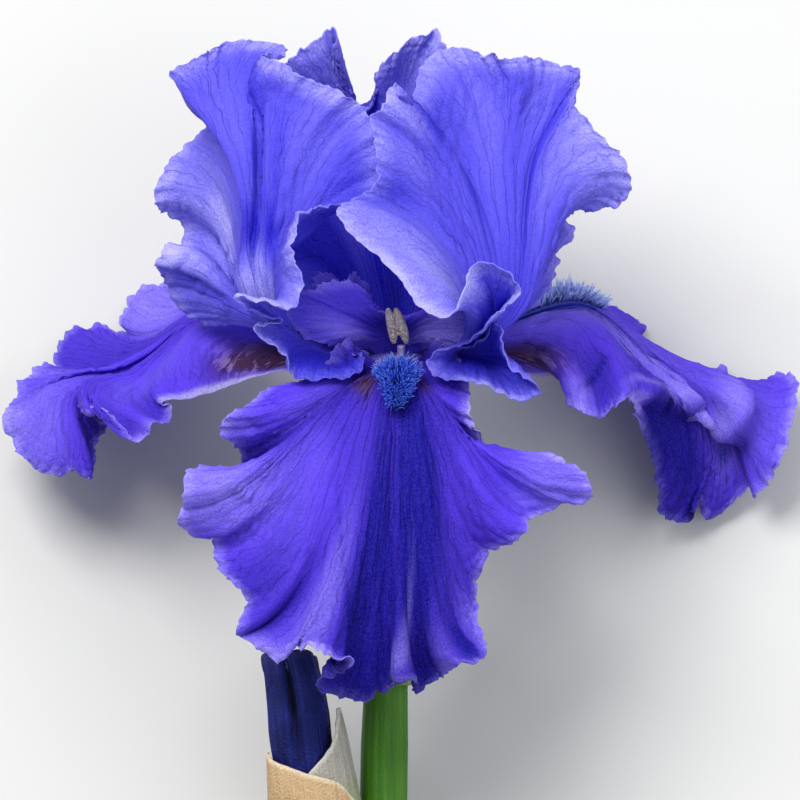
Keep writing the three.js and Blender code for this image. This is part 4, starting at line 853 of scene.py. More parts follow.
def petal_material(name, colours, numbers, vein_width, light_share, **constants):
    """A petal's skin, satin or velvet, with its veins and its rim. Light comes through it from behind."""
    material, tree, shader = new_material(name, **constants)
    vein, reach, rim, along = (reading(tree, key) for key in ("vein", "reach", "rim", "along"))
    haft = reading(tree, "haft")
    width = calc(tree, "MULTIPLY_ADD", haft, 0.35, vein_width)
    lines = use_group(tree, petal_veins, {
        "Vein": vein, "Reach": reach, "Spacing": reading(tree, "spacing"), "Along": along, "Width": width,
        "Wander": 0.9})
    coarse = fibre_mask(tree, vein, along, fineness=1.7, length=9.0)
    slim = fibre_mask(tree, vein, along, fineness=9.0, length=3.5)
    streak = calc(tree, "MULTIPLY_ADD", slim, 0.5, calc(tree, "MULTIPLY", coarse, 0.5))
    speck = grain_mask(tree, size=0.42, low=0.34, high=0.68)
    colour = use_group(tree, petal_colour, {
        **colours, **numbers, "Vein": lines["Mask"], "Net": lines["Net"], "Streak": streak, "Speck": speck,
        "Rim": rim, "Deep": reading(tree, "deep"), "Pale": reading(tree, "pale"), "Haft": haft,
        "White": reading(tree, "white")})["Color"]
    height = calc(tree, "MULTIPLY_ADD", speck, 0.35, calc(tree, "MULTIPLY", streak, 0.8))
    height = calc(tree, "SUBTRACT", height, calc(tree, "MULTIPLY_ADD", lines["Net"], 0.45, lines["Mask"]))
    normal = dress(tree, shader, colour, height, strength=0.55, distance=0.0002)
    let_light_through(tree, shader, colour, normal, light_share)
    return material


HAFT_MAUVE, HAFT_MAROON, HAFT_RIM = (0.21, 0.13, 0.33, 1), (0.032, 0.006, 0.040, 1), (0.50, 0.47, 0.64, 1)
FALL_COLOURS = {
    "Body": (0.108, 0.048, 0.780, 1), "Deep Colour": (0.006, 0.002, 0.290, 1),
    "Pale Colour": (0.36, 0.30, 0.93, 1), "Vein Colour": (0.005, 0.002, 0.130, 1),
    "Haft Colour": HAFT_MAUVE, "Haft Vein Colour": HAFT_MAROON,
    "Edge Colour": (0.50, 0.46, 0.95, 1), "White Colour": HAFT_RIM}
fall_velvet = petal_material(
    "fall_velvet", FALL_COLOURS,
    {"Rim Pallor": 0.45, "Rim Reach": 4.5, "Vein Strength": 0.5, "Edge Strength": 0.35},
    vein_width=0.30, light_share=0.32, Roughness=0.6, Specular_IOR_Level=0.08,
    Sheen_Weight=0.05, Sheen_Roughness=0.35, Sheen_Tint=(0.45, 0.4, 1.0, 1))
petal("front_fall", FALL_FRONT, fall_velvet, "fall_front", veins=40, seed=3,
      pleats=[
          (9.8, 1.4, 1.2, 0.45, 0.90, 1.4, 1.2), (13.3, 1.0, 1.0, 0.70, 0.97, -0.8, -1.4),
          (16.5, 0.7, 0.7, 0.55, 0.95, 0.8, 0.9), (18.2, 0.6, 0.6, 0.60, 0.95, -0.8, -0.8),
          (20.6, 1.2, 0.7, 0.50, 0.90, 1.6, 1.0), (22.4, 0.8, 1.0, 0.50, 0.92, -1.0, -0.6),
          (24.6, 0.9, 0.8, 0.60, 0.94, 1.8, 0.8), (26.8, 0.8, 0.8, 0.55, 0.92, -3.6, -1.6),
          (28.9, 1.0, 1.0, 0.50, 0.92, 3.0, 1.8), (30.9, 0.8, 0.45, 0.50, 0.90, 2.0, 0.6),
          (33.4, 1.1, 2.4, 0.45, 0.92, -3.2, -1.2), (36.4, 0.8, 0.6, 0.60, 0.94, 0.9, 0.6),
          (38.8, 0.7, 0.5, 0.50, 0.88, 3.4, 1.6), (40.8, 0.7, 0.6, 0.55, 0.95, -3.0, -2.2),
          (42.4, 0.8, 0.7, 0.50, 0.90, 2.4, 1.6), (44.0, 0.6, 0.7, 0.60, 0.95, -2.2, -1.4),
          (46.2, 0.8, 0.8, 0.55, 0.90, 1.0, 0.5), (48.1, 0.7, 0.7, 0.50, 0.92, -1.4, -0.9),
          (50.4, 0.9, 0.8, 0.50, 0.92, 1.3, 0.7), (52.3, 0.6, 0.6, 0.50, 0.92, -1.0, -0.6),
          (54.4, 0.9, 0.9, 0.55, 0.90, 0.9, 0.5), (57.4, 1.0, 0.8, 0.60, 0.90, 1.0, 0.6),
          (60.2, 0.8, 0.9, 0.50, 0.90, -1.4, -0.8), (62.0, 0.6, 0.7, 0.50, 0.92, 1.2, 1.4)],
      # Pale dabs: pale pigment on the lobes' rims, and painted highlights along the ridges of the folds.
      pale=[
          (10.0, 0.98, 1.6, 0.08, 0.30), (9.5, 0.62, 3.0, 0.22, 0.10), (17.2, 0.92, 2.2, 0.16, 0.55),
          (19.6, 0.80, 2.2, 0.14, 0.22), (21.5, 0.66, 3.6, 0.16, 0.12), (29.2, 0.80, 1.2, 0.22, 0.50),
          (29.6, 0.985, 2.6, 0.06, 0.70), ((45.0, 37.2), 0.74, 0.50, 0.15, 0.85),
          (38.6, 0.93, 0.5, 0.05, 0.80), (42.3, 0.88, 0.5, 0.12, 0.25), (45.0, 0.92, 0.7, 0.10, 0.25),
          (53.8, 0.94, 2.2, 0.12, 0.40), (57.2, 0.97, 1.4, 0.06, 0.40), (61.0, 0.97, 1.0, 0.05, 0.80),
          (23.8, 0.985, 1.6, 0.03, 0.30), (47.6, 0.97, 1.6, 0.05, 0.25)],
      # Deep dabs: the dark velvet centre, and painted shade in the valleys, under the upper-left lobe and
      # along the top below the flaps.
      deep=[
          (37.5, 0.50, 8.0, 0.60, 0.80), (12.6, 0.86, 1.3, 0.16, 0.80), (33.8, 0.86, 2.2, 0.36, 0.70),
          (40.0, 0.95, 0.7, 0.14, 0.90), (46.0, 0.50, 5.0, 0.40, 0.25), (59.8, 0.88, 0.9, 0.16, 0.85),
          (34.0, 0.16, 26.0, 0.14, 0.75), (43.5, 0.92, 0.4, 0.12, 0.60), (24.4, 0.90, 1.5, 0.18, 0.60),
          (26.9, 0.84, 0.6, 0.18, 0.85), (42.0, 0.45, 3.0, 0.22, 0.30), (18.0, 0.40, 12.0, 0.12, 0.55),
          (13.0, 0.58, 6.0, 0.14, 0.40), (52.0, 0.44, 9.0, 0.16, 0.50), (34.6, 0.74, 2.4, 0.20, 0.95),
          (37.2, 0.88, 1.0, 0.16, 0.40), (41.0, 0.80, 0.5, 0.18, 0.70),
          ((25.8, 45.8), 0.50, 0.20, 0.07, 0.80), ((31.5, 41.5), 0.63, 0.20, 0.07, 0.80),
          ((31.1, 42.8), 0.52, 0.20, 0.10, 0.80), ((37.3, 40.4), 0.53, 0.20, 0.12, 0.80),
          ((43.6, 41.4), 0.58, 0.18, 0.14, 0.70), ((20.0, 43.0), 0.59, 0.20, 0.07, 0.60),
          ((10.0, 41.0), 0.58, 0.20, 0.08, 0.55), ((15.0, 38.0), 0.69, 0.18, 0.06, 0.50),
          (3.0, 0.90, 2.6, 0.60, 0.70), (65.0, 0.90, 2.6, 0.60, 0.70)],
      haft=[(23.0, 0.29, 4.0, 0.06, 0.98), (12.0, 0.32, 8.0, 0.05, 0.70), (52.6, 0.32, 4.0, 0.06, 0.95)],
      white=[(61.2, 0.993, 1.6, 0.014, 0.75)])
petal("left_fall", FALL_LEFT, fall_velvet, "fall_left", veins=34, seed=5,
      pleats=[
          (9.2, 1.0, 0.8, 0.45, 0.90, 1.2, 0.8), (11.3, 0.8, 0.8, 0.50, 0.90, -1.3, -0.8),
          (14.0, 1.3, 1.3, 0.40, 0.90, 1.3, 0.6), (16.3, 0.7, 0.7, 0.45, 0.90, -1.0, -0.6),
          (19.2, 0.4, 1.8, 0.28, 0.55, 2.6, 1.6),
          (21.6, 0.5, 0.5, 0.60, 0.95, 0.7, 0.8), (22.8, 0.5, 0.5, 0.60, 0.95, -0.6, -0.7),
          (24.2, 0.7, 0.6, 0.55, 0.95, 0.9, 0.7), (25.8, 0.6, 0.6, 0.55, 0.95, -0.7, -0.5),
          (28.1, 1.2, 0.7, 0.40, 0.90, 1.6, 1.0), (30.6, 1.1, 1.1, 0.40, 0.90, -1.6, -1.0),
          (34.3, 0.9, 0.6, 0.50, 0.95, 1.3, 0.8), (36.2, 0.7, 0.7, 0.50, 0.95, -1.1, -0.6),
          (38.6, 0.6, 0.6, 0.50, 0.90, -1.5, -1.0), (39.6, 0.5, 0.5, 0.50, 0.95, 0.9, 0.6),
          (40.6, 0.6, 0.5, 0.55, 0.95, -1.4, -1.0), (41.9, 0.6, 0.8, 0.45, 0.90, 0.9, 0.4)],
      # Pale dabs: pale pigment, and painted light on the lit far lobe and the tip lobe.
      pale=[
          (7.6, 0.80, 2.6, 0.34, 0.60), (41.0, 0.60, 2.0, 0.20, 0.14), (18.2, 0.88, 1.0, 0.16, 0.35),
          (22.8, 0.78, 3.0, 0.26, 0.34), (21.8, 0.95, 1.4, 0.10, 0.35), (33.4, 0.92, 0.9, 0.14, 0.50),
          (38.2, 0.98, 0.9, 0.06, 0.35)],
      # Deep dabs: painted shade on the far lobe's inner face, in the valleys and under the tip, and the
      # haft's dark maroon spot.
      deep=[
          (15.0, 0.70, 2.8, 0.34, 0.40), (25.2, 0.97, 2.4, 0.07, 0.45), (30.0, 0.80, 1.8, 0.40, 0.75),
          (36.6, 0.85, 1.0, 0.25, 0.30), (38.7, 0.85, 0.5, 0.25, 0.40), (40.7, 0.88, 0.5, 0.22, 0.40),
          (44.9, 0.54, 1.0, 0.18, 0.90), (17.9, 0.46, 0.7, 0.20, 0.60)],
      haft=[(45.1, 0.64, 1.4, 0.22, 0.97), (45.4, 0.84, 1.5, 0.12, 0.60)],
      white=[(44.2, 0.982, 3.0, 0.030, 0.80)], calm=[(44.0, 3.5, 0.75)])
petal("right_fall", FALL_RIGHT, fall_velvet, "fall_right", veins=34, seed=7,
      pleats=[
          (9.4, 1.0, 0.9, 0.40, 0.85, 1.6, 1.0), (11.6, 1.0, 1.2, 0.35, 0.85, -2.6, -1.6),
          (14.2, 0.9, 0.9, 0.45, 0.90, 1.5, 0.9), (16.3, 0.8, 0.8, 0.45, 0.90, -1.0, -0.5),
          (18.9, 1.3, 1.3, 0.40, 0.90, 1.4, 1.0), (20.9, 0.6, 0.6, 0.50, 0.95, -1.8, -1.2),
          (23.2, 0.9, 0.9, 0.45, 0.95, 1.3, 0.8), (26.3, 0.8, 0.5, 0.40, 0.95, -2.0, -1.3),
          (28.8, 1.5, 1.5, 0.40, 0.90, 1.6, 1.0), (31.4, 0.7, 0.7, 0.50, 0.90, -1.1, -0.7),
          (33.4, 0.8, 0.8, 0.50, 0.90, 1.0, 0.6), (35.7, 0.7, 0.7, 0.55, 0.95, -1.0, -0.6),
          (37.4, 0.6, 0.6, 0.55, 0.95, 1.0, 0.6), (39.3, 0.6, 0.6, 0.55, 0.95, -1.0, -0.6),
          (41.0, 0.7, 0.7, 0.50, 0.95, 0.9, 0.5), (47.5, 1.6, 1.2, 0.45, 0.90, 0.9, 0.4)],
      # Pale dabs: pale rims, and painted light on the upper face near the standard and along the crest of
      # the fold.
      pale=[
          (9.8, 0.94, 0.9, 0.10, 0.45), (38.6, 0.80, 2.4, 0.10, 0.30), (14.8, 0.97, 1.4, 0.06, 0.70),
          (29.6, 0.82, 2.6, 0.34, 0.14), (40.0, 0.92, 3.4, 0.14, 0.45), (24.0, 0.62, 2.0, 0.16, 0.25),
          (20.0, 0.34, 9.0, 0.18, 0.50), (43.0, 0.55, 3.0, 0.30, 0.60),
          ((27.4, 11.4), 0.68, 0.5, 0.18, 0.70), (21.6, 0.49, 1.6, 0.035, 0.45),
          (24.8, 0.555, 1.4, 0.040, 0.60), (27.4, 0.615, 1.2, 0.045, 0.55), (29.6, 0.62, 1.0, 0.060, 0.40)],
      # Deep dabs: painted shade on the drooping tip's underside and in a line below the fold.
      deep=[
          (11.7, 0.84, 1.0, 0.20, 0.70), (18.6, 0.92, 2.7, 0.28, 0.85), (21.0, 0.95, 0.7, 0.16, 0.60),
          (23.6, 0.92, 1.6, 0.26, 0.40), (26.4, 0.85, 0.5, 0.30, 0.55), (8.6, 0.52, 1.8, 0.18, 0.85),
          ((24.8, 8.1), 0.82, 0.30, 0.08, 0.75), (16.6, 0.88, 1.0, 0.14, 0.50),
          (18.4, 0.66, 2.6, 0.18, 0.45), ((29.4, 13.4), 0.70, 0.9, 0.16, 0.80),
          (24.2, 0.66, 2.0, 0.050, 0.80), (27.2, 0.72, 1.2, 0.050, 0.65), (26.0, 0.55, 0.3, 0.050, 0.55),
          (28.6, 0.58, 0.3, 0.050, 0.50)],
      haft=[(7.8, 0.62, 2.3, 0.20, 0.97), (6.4, 0.84, 1.8, 0.14, 0.65)],
      white=[(6.0, 0.985, 2.4, 0.026, 0.80)], calm=[(4.5, 3.5, 0.6)],
      folds=[([
          (14.6, 0.93), (15.2, 0.86), (16.2, 0.72), (19.4, 0.55), (22.6, 0.52), (25.0, 0.60), (27.4, 0.66),
          (29.8, 0.68), (32.0, 0.62)], 0.13, 0.030, 4.4)])


# Beards. A thick brush of fleshy hairs stands on a low ridge along the haft of each fall, to lead an
# insect in. The front one is vivid blue with pale tips, yellowish where it enters the throat.
BEARDS = [
    dict(name="front_beard", node="beard_front", hairs=1900, half_width=2.9, half_height=0.8,
         length=3.9, splay=2.1, narrow=0.72, pale=0.0, seed=11,
         path=[(0.3, -17.8, 2.2), (0.4, -21.6, 1.6), (0.4, -26, 0), (0.2, -29.2, -2.5), (0, -31.8, -5)],
         away=[(0, 0.1, 1), (0, -0.2, 1), (0, -0.5, 0.9), (0, -0.9, 0.5), (-0.1, -1, -0.1)]),
    dict(name="left_beard", node="beard_left", hairs=700, half_width=1.8, half_height=0.6,
         length=3.8, splay=1.1, narrow=0.1, pale=0.7, seed=23,
         path=[(-17.5, 10.2, 8.6), (-22, 12.8, 10.4), (-28, 15.8, 12.2), (-32, 17.6, 12.9),
               (-37, 19.8, 13.3)],
         away=[(0.2, -0.1, 1), (0.2, -0.1, 1), (0.15, -0.1, 1), (0.1, -0.1, 1), (0, -0.1, 1)]),
    dict(name="right_beard", node="beard_right", hairs=800, half_width=1.9, half_height=0.6,
         length=4.4, splay=1.1, narrow=0.1, pale=1.3, seed=37,
         path=[(19.6, 10.9, 11.2), (26, 14, 13.9), (32, 16.8, 15.9), (36.6, 19, 16.3), (41.6, 21.2, 14.9)],
         away=[(-0.2, -0.1, 1), (-0.2, -0.1, 1), (-0.1, -0.1, 1), (0, -0.1, 1), (0.1, -0.1, 1)])]
RIDGE_BEDDED = 0.6  # how deep the ridge sits in its petal
RIDGE_STEPS, RIDGE_SIDES = 30, 20
RIDGE_MAP_SIZE = (0.2, 0.12)
HAIR_RADIUS, HAIR_SIDES = 0.12, 3
HAIR_HEIGHTS = np.array((-0.12, 0.35, 0.7, 0.93))  # of its rings, as shares of the hair
HAIR_WIDTHS = np.array((0.85, 1.0, 0.9, 0.6))
HAIR_CROSS = (0.31, 0.2, 0.93)  # a fixed direction, to find one across each hair
HAIR_POINTS = HAIR_SIDES * len(HAIR_HEIGHTS) + 1
HAIR_MAP_SIZE, HAIR_MAP_FOOT = (1, 0.86), (0, 0.13)  # the part of the map above the ridge's
HAIR_ROOT, HAIR_BLUE = (0.003, 0.010, 0.230, 1), (0.004, 0.020, 0.460, 1)
HAIR_TIP, HAIR_YELLOW, HAIR_ICE = (0.09, 0.24, 0.86, 1), (0.50, 0.52, 0.56, 1), (0.46, 0.56, 0.96, 1)

beard_material, tree, shader = new_material("beard_blue", Roughness=0.5, Specular_IOR_Level=0.35)
tip = reading(tree, "tip")
colour = tint(tree, ramp(tree, tip, 0.1, 0.75), HAIR_ROOT, HAIR_BLUE)
tips = tint(tree, reading(tree, "warm"), HAIR_TIP, HAIR_YELLOW)
tipped = calc(tree, "MULTIPLY_ADD", reading(tree, "warm"), 0.4, 0.55)
colour = tint(tree, calc(tree, "MULTIPLY", ramp(tree, tip, 0.72, 1.0), tipped), colour, tips)
ice = put(tree, "ShaderNodeClamp", {0: calc(tree, "MULTIPLY", reading(tree, "pallor"), tip)}).outputs[0]
colour = tint(tree, ice, colour, HAIR_ICE)
fleck = grain_mask(tree, size=0.5, low=0.35, high=0.7)
colour = tint(tree, calc(tree, "MULTIPLY", fleck, 0.12), colour, HAIR_TIP)
tree.links.new(colour, shader.inputs["Base Color"])


def hair_faces_and_map():
    """The faces of one hair by the numbers of its points, and their corners in its own square of the map."""
    quads, quad_map, tops, top_map = [], [], [], []
    tip, last_ring = HAIR_POINTS - 1, HAIR_POINTS - 1 - HAIR_SIDES
    edge, face_width, face_height, tip_height = 0.1, 0.27, 0.2, 0.9
    for k in range(HAIR_SIDES):
        beside = (k + 1) % HAIR_SIDES
        left, right = edge + face_width * k, edge + face_width * (k + 1)
        for level in range(len(HAIR_HEIGHTS) - 1):
            a, b = level * HAIR_SIDES + k, level * HAIR_SIDES + beside
            quads.append((a, b, b + HAIR_SIDES, a + HAIR_SIDES))
            low, high = edge + face_height * level, edge + face_height * (level + 1)
            quad_map.append(((left, low), (right, low), (right, high), (left, high)))
        tops.append((last_ring + k, last_ring + beside, tip))
        top_map.append(((left, high), (right, high), ((left + right) / 2, tip_height)))
    foot, foot_map = [(2, 1, 0)], [((0.92, 0.1), (0.97, 0.1), (0.945, 0.15))]
    return (quads, quad_map), (tops, top_map), (foot, foot_map)


def make_beard(name, node, hairs, half_width, half_height, length, splay, narrow, pale, seed, path, away):
    """The ridge, and on it the hairs: bent three-sided spikes, each with its own place on the map.

    splay is how far the hairs at the sides lean out, narrow how much slimmer the beard's end is.
    """
    draw = np.random.default_rng(seed)
    path_at, away_at = through(path), through(away)

    def frame_at(t):
        """A place on the path, with the directions along it, out of the petal and to the side."""
        tangent = direction_of(path_at, t, 0.03)
        up = away_at(t)
        up = unit(up - tangent * (up * tangent).sum(-1, keepdims=True))
        return path_at(t), tangent, up, np.cross(tangent, up)

    def taper_at(t):
        """The ridge's width and height there, as a share of its full ones."""
        swell = 0.25 + 0.75 * np.sin(np.pi * np.clip(t, 0.04, 0.96)) ** 0.6
        return swell * (1 - narrow * smoothstep(0.3, 1, t))

    t = np.linspace(0, 1, RIDGE_STEPS)
    spot, _, up, side = (part[:, None] for part in frame_at(t))
    taper = taper_at(t)[:, None, None]
    turn = np.linspace(0, 2 * np.pi, RIDGE_SIDES, endpoint=False)[None, :, None]
    bedded = RIDGE_BEDDED * np.minimum(np.sin(turn), 0) * smoothstep(0, 0.5, t)[:, None, None]
    ridge = (spot + side * np.cos(turn) * half_width * taper
             + up * (half_height * taper * (1 + np.sin(turn)) + bedded))
    points, faces, corners = loft(ridge)
    corners = corners * RIDGE_MAP_SIZE

    t = draw.uniform(0.02, 0.98, hairs)
    lean = draw.uniform(-1, 1, hairs)[:, None]
    spot, tangent, up, side = frame_at(t)
    taper = taper_at(t)[:, None]
    root = (spot + side * lean * half_width * 0.92 * taper
            + up * half_height * taper * (2 * np.sqrt(1 - 0.84 * lean**2)))
    jitter = draw.normal(0, 0.16, (hairs, 3))
    way = unit(up + side * lean * splay * (1 - narrow * t[:, None])
               + tangent * (0.9 * (t - 0.42))[:, None] + jitter)
    reach = (length * (0.7 + 0.3 * np.sin(np.pi * t)) * draw.uniform(0.7, 1.12, hairs)
             * (1 - 0.22 * lean[:, 0] ** 2))
    reach = reach * (0.62 + 0.38 * smoothstep(0, 0.3, t))
    bend = draw.normal(0, 0.12, (hairs, 3)) + np.array((0, 0, -0.1))
    across = unit(np.cross(way, HAIR_CROSS))
    other = np.cross(way, across)
    spikes = []
    for height, width in zip(HAIR_HEIGHTS, HAIR_WIDTHS):
        centre = root + way * (reach * height)[:, None] + bend * (reach * height**2)[:, None]
        for corner in range(HAIR_SIDES):
            angle = 2 * np.pi * corner / HAIR_SIDES + t * 40
            spikes.append(centre + (across * np.cos(angle)[:, None] + other * np.sin(angle)[:, None])
                          * HAIR_RADIUS * width)
    spikes.append(root + way * reach[:, None] + bend * reach[:, None])

    ridge_count = len(points)
    base = ridge_count + np.arange(hairs)[:, None, None] * HAIR_POINTS
    columns = math.ceil(math.sqrt(hairs))
    cell = np.stack((np.arange(hairs) % columns, np.arange(hairs) // columns), -1) / columns
    for own_faces, own_map in hair_faces_and_map():
        own_faces, own_map = np.array(own_faces), np.array(own_map)
        faces = faces + (base + own_faces).reshape(-1, own_faces.shape[-1]).tolist()
        placed = (cell[:, None, None] + own_map[None] / columns) * HAIR_MAP_SIZE + HAIR_MAP_FOOT
        corners = np.vstack((corners, placed.reshape(-1, 2)))
    points = np.vstack((points, np.stack(spikes, 1).reshape(-1, 3)))
    tips = np.append(np.repeat(np.clip(HAIR_HEIGHTS, 0, 1), HAIR_SIDES), 1.0)
    warm = smoothstep(0.45, 0.1, t) * 0.9 + draw.uniform(0, 0.15, hairs)
    pallor = pale * draw.uniform(0.6, 1.2, hairs)

    def with_ridge(values):
        """The hairs' values after the ridge's, which are 0."""
        return np.concatenate((np.zeros(ridge_count), values))

    add_piece(name, points, faces, beard_material, node, corners, {
        "tip": with_ridge(np.tile(tips, hairs)), "warm": with_ridge(np.repeat(warm, HAIR_POINTS)),
        "pallor": with_ridge(np.repeat(pallor, HAIR_POINTS))})


for beard in BEARDS:
    make_beard(**beard)


# Stamens. Under each style arm a slim filament leaves the tube and holds up one pollen sac, two cream
# lobes side by side with a groove between them, grainy with pollen.
SIDE_TURN = 120
FILAMENT_FRONT = [(0, -3.5, 4.1), (0.3, -8, 5), (0.7, -13, 5), (1, -15.8, 5.8), (1, -16.8, 7.8)]
ANTHER_FRONT = [(0.9, -17, 8.2), (0.2, -17.2, 11.6), (-0.9, -17, 15.3)]
FILAMENT_SIDE = [(0, -3.5, 4.4), (0, -8, 7), (0, -12.4, 9.2), (0, -15, 11.2), (0, -15.8, 13.4)]
ANTHER_SIDE = [(0, -15.9, 13.8), (0, -16.6, 17), (0, -18, 20.2)]
FILAMENT_RADIUS, FILAMENT_TAPER, LOBE_RADIUS, SEAM_RADIUS = 0.75, 0.25, 1.02, 0.75
FILAMENT_STEPS, FILAMENT_SIDES, FILAMENT_GIRTH = 40, 20, 5
FILAMENT_LILAC, FILAMENT_GREY = (0.22, 0.19, 0.38, 1), (0.12, 0.10, 0.28, 1)
ANTHER_CREAM, ANTHER_GROOVE, POLLEN = (0.20, 0.155, 0.19, 1), (0.055, 0.04, 0.11, 1), (0.40, 0.35, 0.33, 1)

filament_material, tree, shader = new_material("filament_lilac", Roughness=0.5)
lines = fibre_mask(tree, reading(tree, "around"), reading(tree, "along"), fineness=3.0, length=6.0)
dress(tree, shader, tint(tree, lines, FILAMENT_LILAC, FILAMENT_GREY), lines, strength=0.4, distance=0.0001)

anther_material, tree, shader = new_material("anther_cream", Roughness=0.85)
coarse = grain_mask(tree, size=0.55, low=0.35, high=0.68)
dust = grain_mask(tree, size=0.28, low=0.4, high=0.6)
colour = tint(tree, coarse, ANTHER_CREAM, POLLEN)
colour = tint(tree, calc(tree, "MULTIPLY", dust, 0.35), colour, ANTHER_GROOVE)
dress(tree, shader, colour, calc(tree, "ADD", coarse, dust), strength=0.9, distance=0.0002)


def turned(points, degrees):
    """Points turned about the heart's upright axis."""
    a = math.radians(degrees)
    x, y, z = np.moveaxis(points, -1, 0)
    return np.stack((x * math.cos(a) - y * math.sin(a), x * math.sin(a) + y * math.cos(a), z), -1)


def filament_radius(t, angle):
    """Thicker at the foot, and round."""
    return FILAMENT_RADIUS * (1 + FILAMENT_TAPER * (1 - t))


def lobe_rings(sac, side):
    """One pollen lobe: beside the sac's line at its foot, close to it at its top, round at both ends."""
    def path(t):
        return through(sac)(t) + np.array((side, 0, 0)) * (1.25 - 0.5 * t)[:, None]

    def radius(t, angle):
        ends = 0.10 + 0.90 * np.sin(np.pi * np.clip(t, 0.012, 0.988)) ** 0.42
        return LOBE_RADIUS * ends * (1 - 0.16 * np.exp(-((np.abs(np.sin(angle / 2)) - 0.35) / 0.12) ** 2))
    return rings_along(path, radius, 44, 30)


def seam_rings(sac):
    """What holds the two lobes together, behind the groove."""
    def path(t):
        return through(sac)(0.25 + 0.6 * t) + np.array((0, 0.35, 0))

    return rings_along(path, lambda t, angle: SEAM_RADIUS, 16, 14)


for place, degrees, stalk, sac in (
        ("front", 0, FILAMENT_FRONT, ANTHER_FRONT), ("left", -SIDE_TURN, FILAMENT_SIDE, ANTHER_SIDE),
        ("right", SIDE_TURN, FILAMENT_SIDE, ANTHER_SIDE)):
    rings = rings_along(through(stalk), filament_radius, FILAMENT_STEPS, FILAMENT_SIDES)
    points, faces, corners = loft(turned(rings, degrees))
    around = np.tile(np.linspace(0, FILAMENT_GIRTH, FILAMENT_SIDES), (FILAMENT_STEPS + 1, 1))
    add_piece(place + "_filament", points, faces, filament_material, "filament_" + place,
              corners, {"around": around, "along": points[:, 2]})
    solids = [loft(turned(rings, degrees))
              for rings in (lobe_rings(sac, -1), seam_rings(sac), lobe_rings(sac, 1))]
    add_joined(place + "_anther", solids, anther_material, "anther_" + place, lambda points: {})


# Style arms. Three petal-like arms rise from the heart, one over each fall, and end in two upright
# crests with a toothed and fringed edge. They are lilac and satin, a little thicker than a petal.
STYLE_THICK = 0.8
STYLE_VEINS, STYLE_SEED = 16, 41
PETAL_WHITE = (0.66, 0.65, 0.95, 1)
STYLE_FRONT = {
    "side": (1, 0, 0), "claw": (1.6, 0, 0),
    "rib": [(0, -2, 6), (0, -5, 8.8), (0, -9, 11.2), (0, -12, 12.6), (0, -13.4, 13.8)],
    "margin": [
        (-1.8, -2, 6), (-5, -4.4, 7), (-9, -8.8, 7.5), (-13.6, -12.6, 8), (-18.4, -14.4, 9.6),
        (-22, -15, 13.6), (-21.4, -15, 18), (-17, -15, 19), (-13.4, -14.6, 20.6), (-10.4, -14.4, 20.8),
        (-7, -13.4, 19.6), (-4.4, -12.6, 15.4), (-0.8, -13, 13.6), (2.6, -12.6, 13.6), (5.6, -13.2, 15),
        (8.4, -14, 16.4), (11.8, -14.4, 16.8), (15, -14.2, 15.6), (16, -13.4, 12.6), (14.6, -12, 8.6),
        (10.4, -10.4, 7.6), (7.2, -8, 7.4), (4.6, -4.2, 7.2), (1.8, -2, 6)]}
STYLE_SIDE_HALF = [
    (-1.8, -2, 6), (-4.8, -3.6, 8.4), (-8, -7, 11), (-10, -10, 13.6), (-11.2, -11.8, 16.6),
    (-10.8, -13, 20), (-7.6, -13.6, 22.4), (-3.6, -12.8, 22)]
STYLE_SIDE = {
    "side": (1, 0, 0), "claw": (1.6, 0, 0),
    "rib": [(0, -2, 6), (0, -4.4, 10), (0, -7.6, 14), (0, -10.6, 17.4), (0, -12.6, 20)],
    "margin": [*STYLE_SIDE_HALF, (0, -12.6, 20.2), *((-x, y, z) for x, y, z in reversed(STYLE_SIDE_HALF))]}
STYLE_COLOURS = {
    "Body": (0.100, 0.060, 0.780, 1), "Deep Colour": (0.020, 0.008, 0.400, 1),
    "Pale Colour": (0.34, 0.27, 0.88, 1), "Vein Colour": (0.030, 0.018, 0.30, 1),
    "Haft Colour": HAFT_MAUVE, "Haft Vein Colour": HAFT_MAROON,
    "Edge Colour": (0.36, 0.32, 0.80, 1), "White Colour": PETAL_WHITE}
style_satin = petal_material(
    "style_satin", STYLE_COLOURS,
    {"Rim Pallor": 0.3, "Rim Reach": 3.5, "Vein Strength": 0.16, "Edge Strength": 0.3},
    vein_width=0.22, light_share=0.3, Roughness=0.5, Specular_IOR_Level=0.2,
    Sheen_Weight=0.05, Sheen_Roughness=0.4, Sheen_Tint=(0.5, 0.45, 1.0, 1))
# The pale dabs are painted light on the crests and on the front arm's side in the standard's shadow; the
# deep dabs are deeper pigment and painted shade down in the throat.
FRONT_PALE = [(3.4, 0.70, 2.0, 0.20, 0.50), (18.4, 0.72, 2.4, 0.34, 1.15), (8.2, 0.96, 1.4, 0.06, 0.30)]
FRONT_DEEP = [(12.0, 0.24, 6.5, 0.34, 0.90), (12.0, 0.85, 1.8, 0.40, 0.55), (8.6, 0.80, 2.6, 0.26, 0.45)]
SIDE_CREST_PAINTED_LIGHT, SIDE_DEEP = [(8, 0.95, 6, 0.14, 0.35)], [(8, 0.2, 9, 0.5, 0.7)]


def turned_shape(shape, degrees):
    """A petal's shape turned about the heart's upright axis."""
    side, claw, rib, margin = (turned(np.array(shape[key], float), degrees).tolist()
                               for key in ("side", "claw", "rib", "margin"))
    return {"side": side, "claw": claw, "rib": rib, "margin": margin}


for place, shape, pale, deep in (
        ("front", STYLE_FRONT, FRONT_PALE, FRONT_DEEP),
        ("left", turned_shape(STYLE_SIDE, -SIDE_TURN), SIDE_CREST_PAINTED_LIGHT, SIDE_DEEP),
        ("right", turned_shape(STYLE_SIDE, SIDE_TURN), SIDE_CREST_PAINTED_LIGHT, SIDE_DEEP)):
    petal(place + "_style", shape, style_satin, "style_" + place, STYLE_VEINS, STYLE_SEED,
          pale=pale, deep=deep, fine=10, along=30, crimp=0.16, frill=0.40, crinkle=0.04, thick=STYLE_THICK)


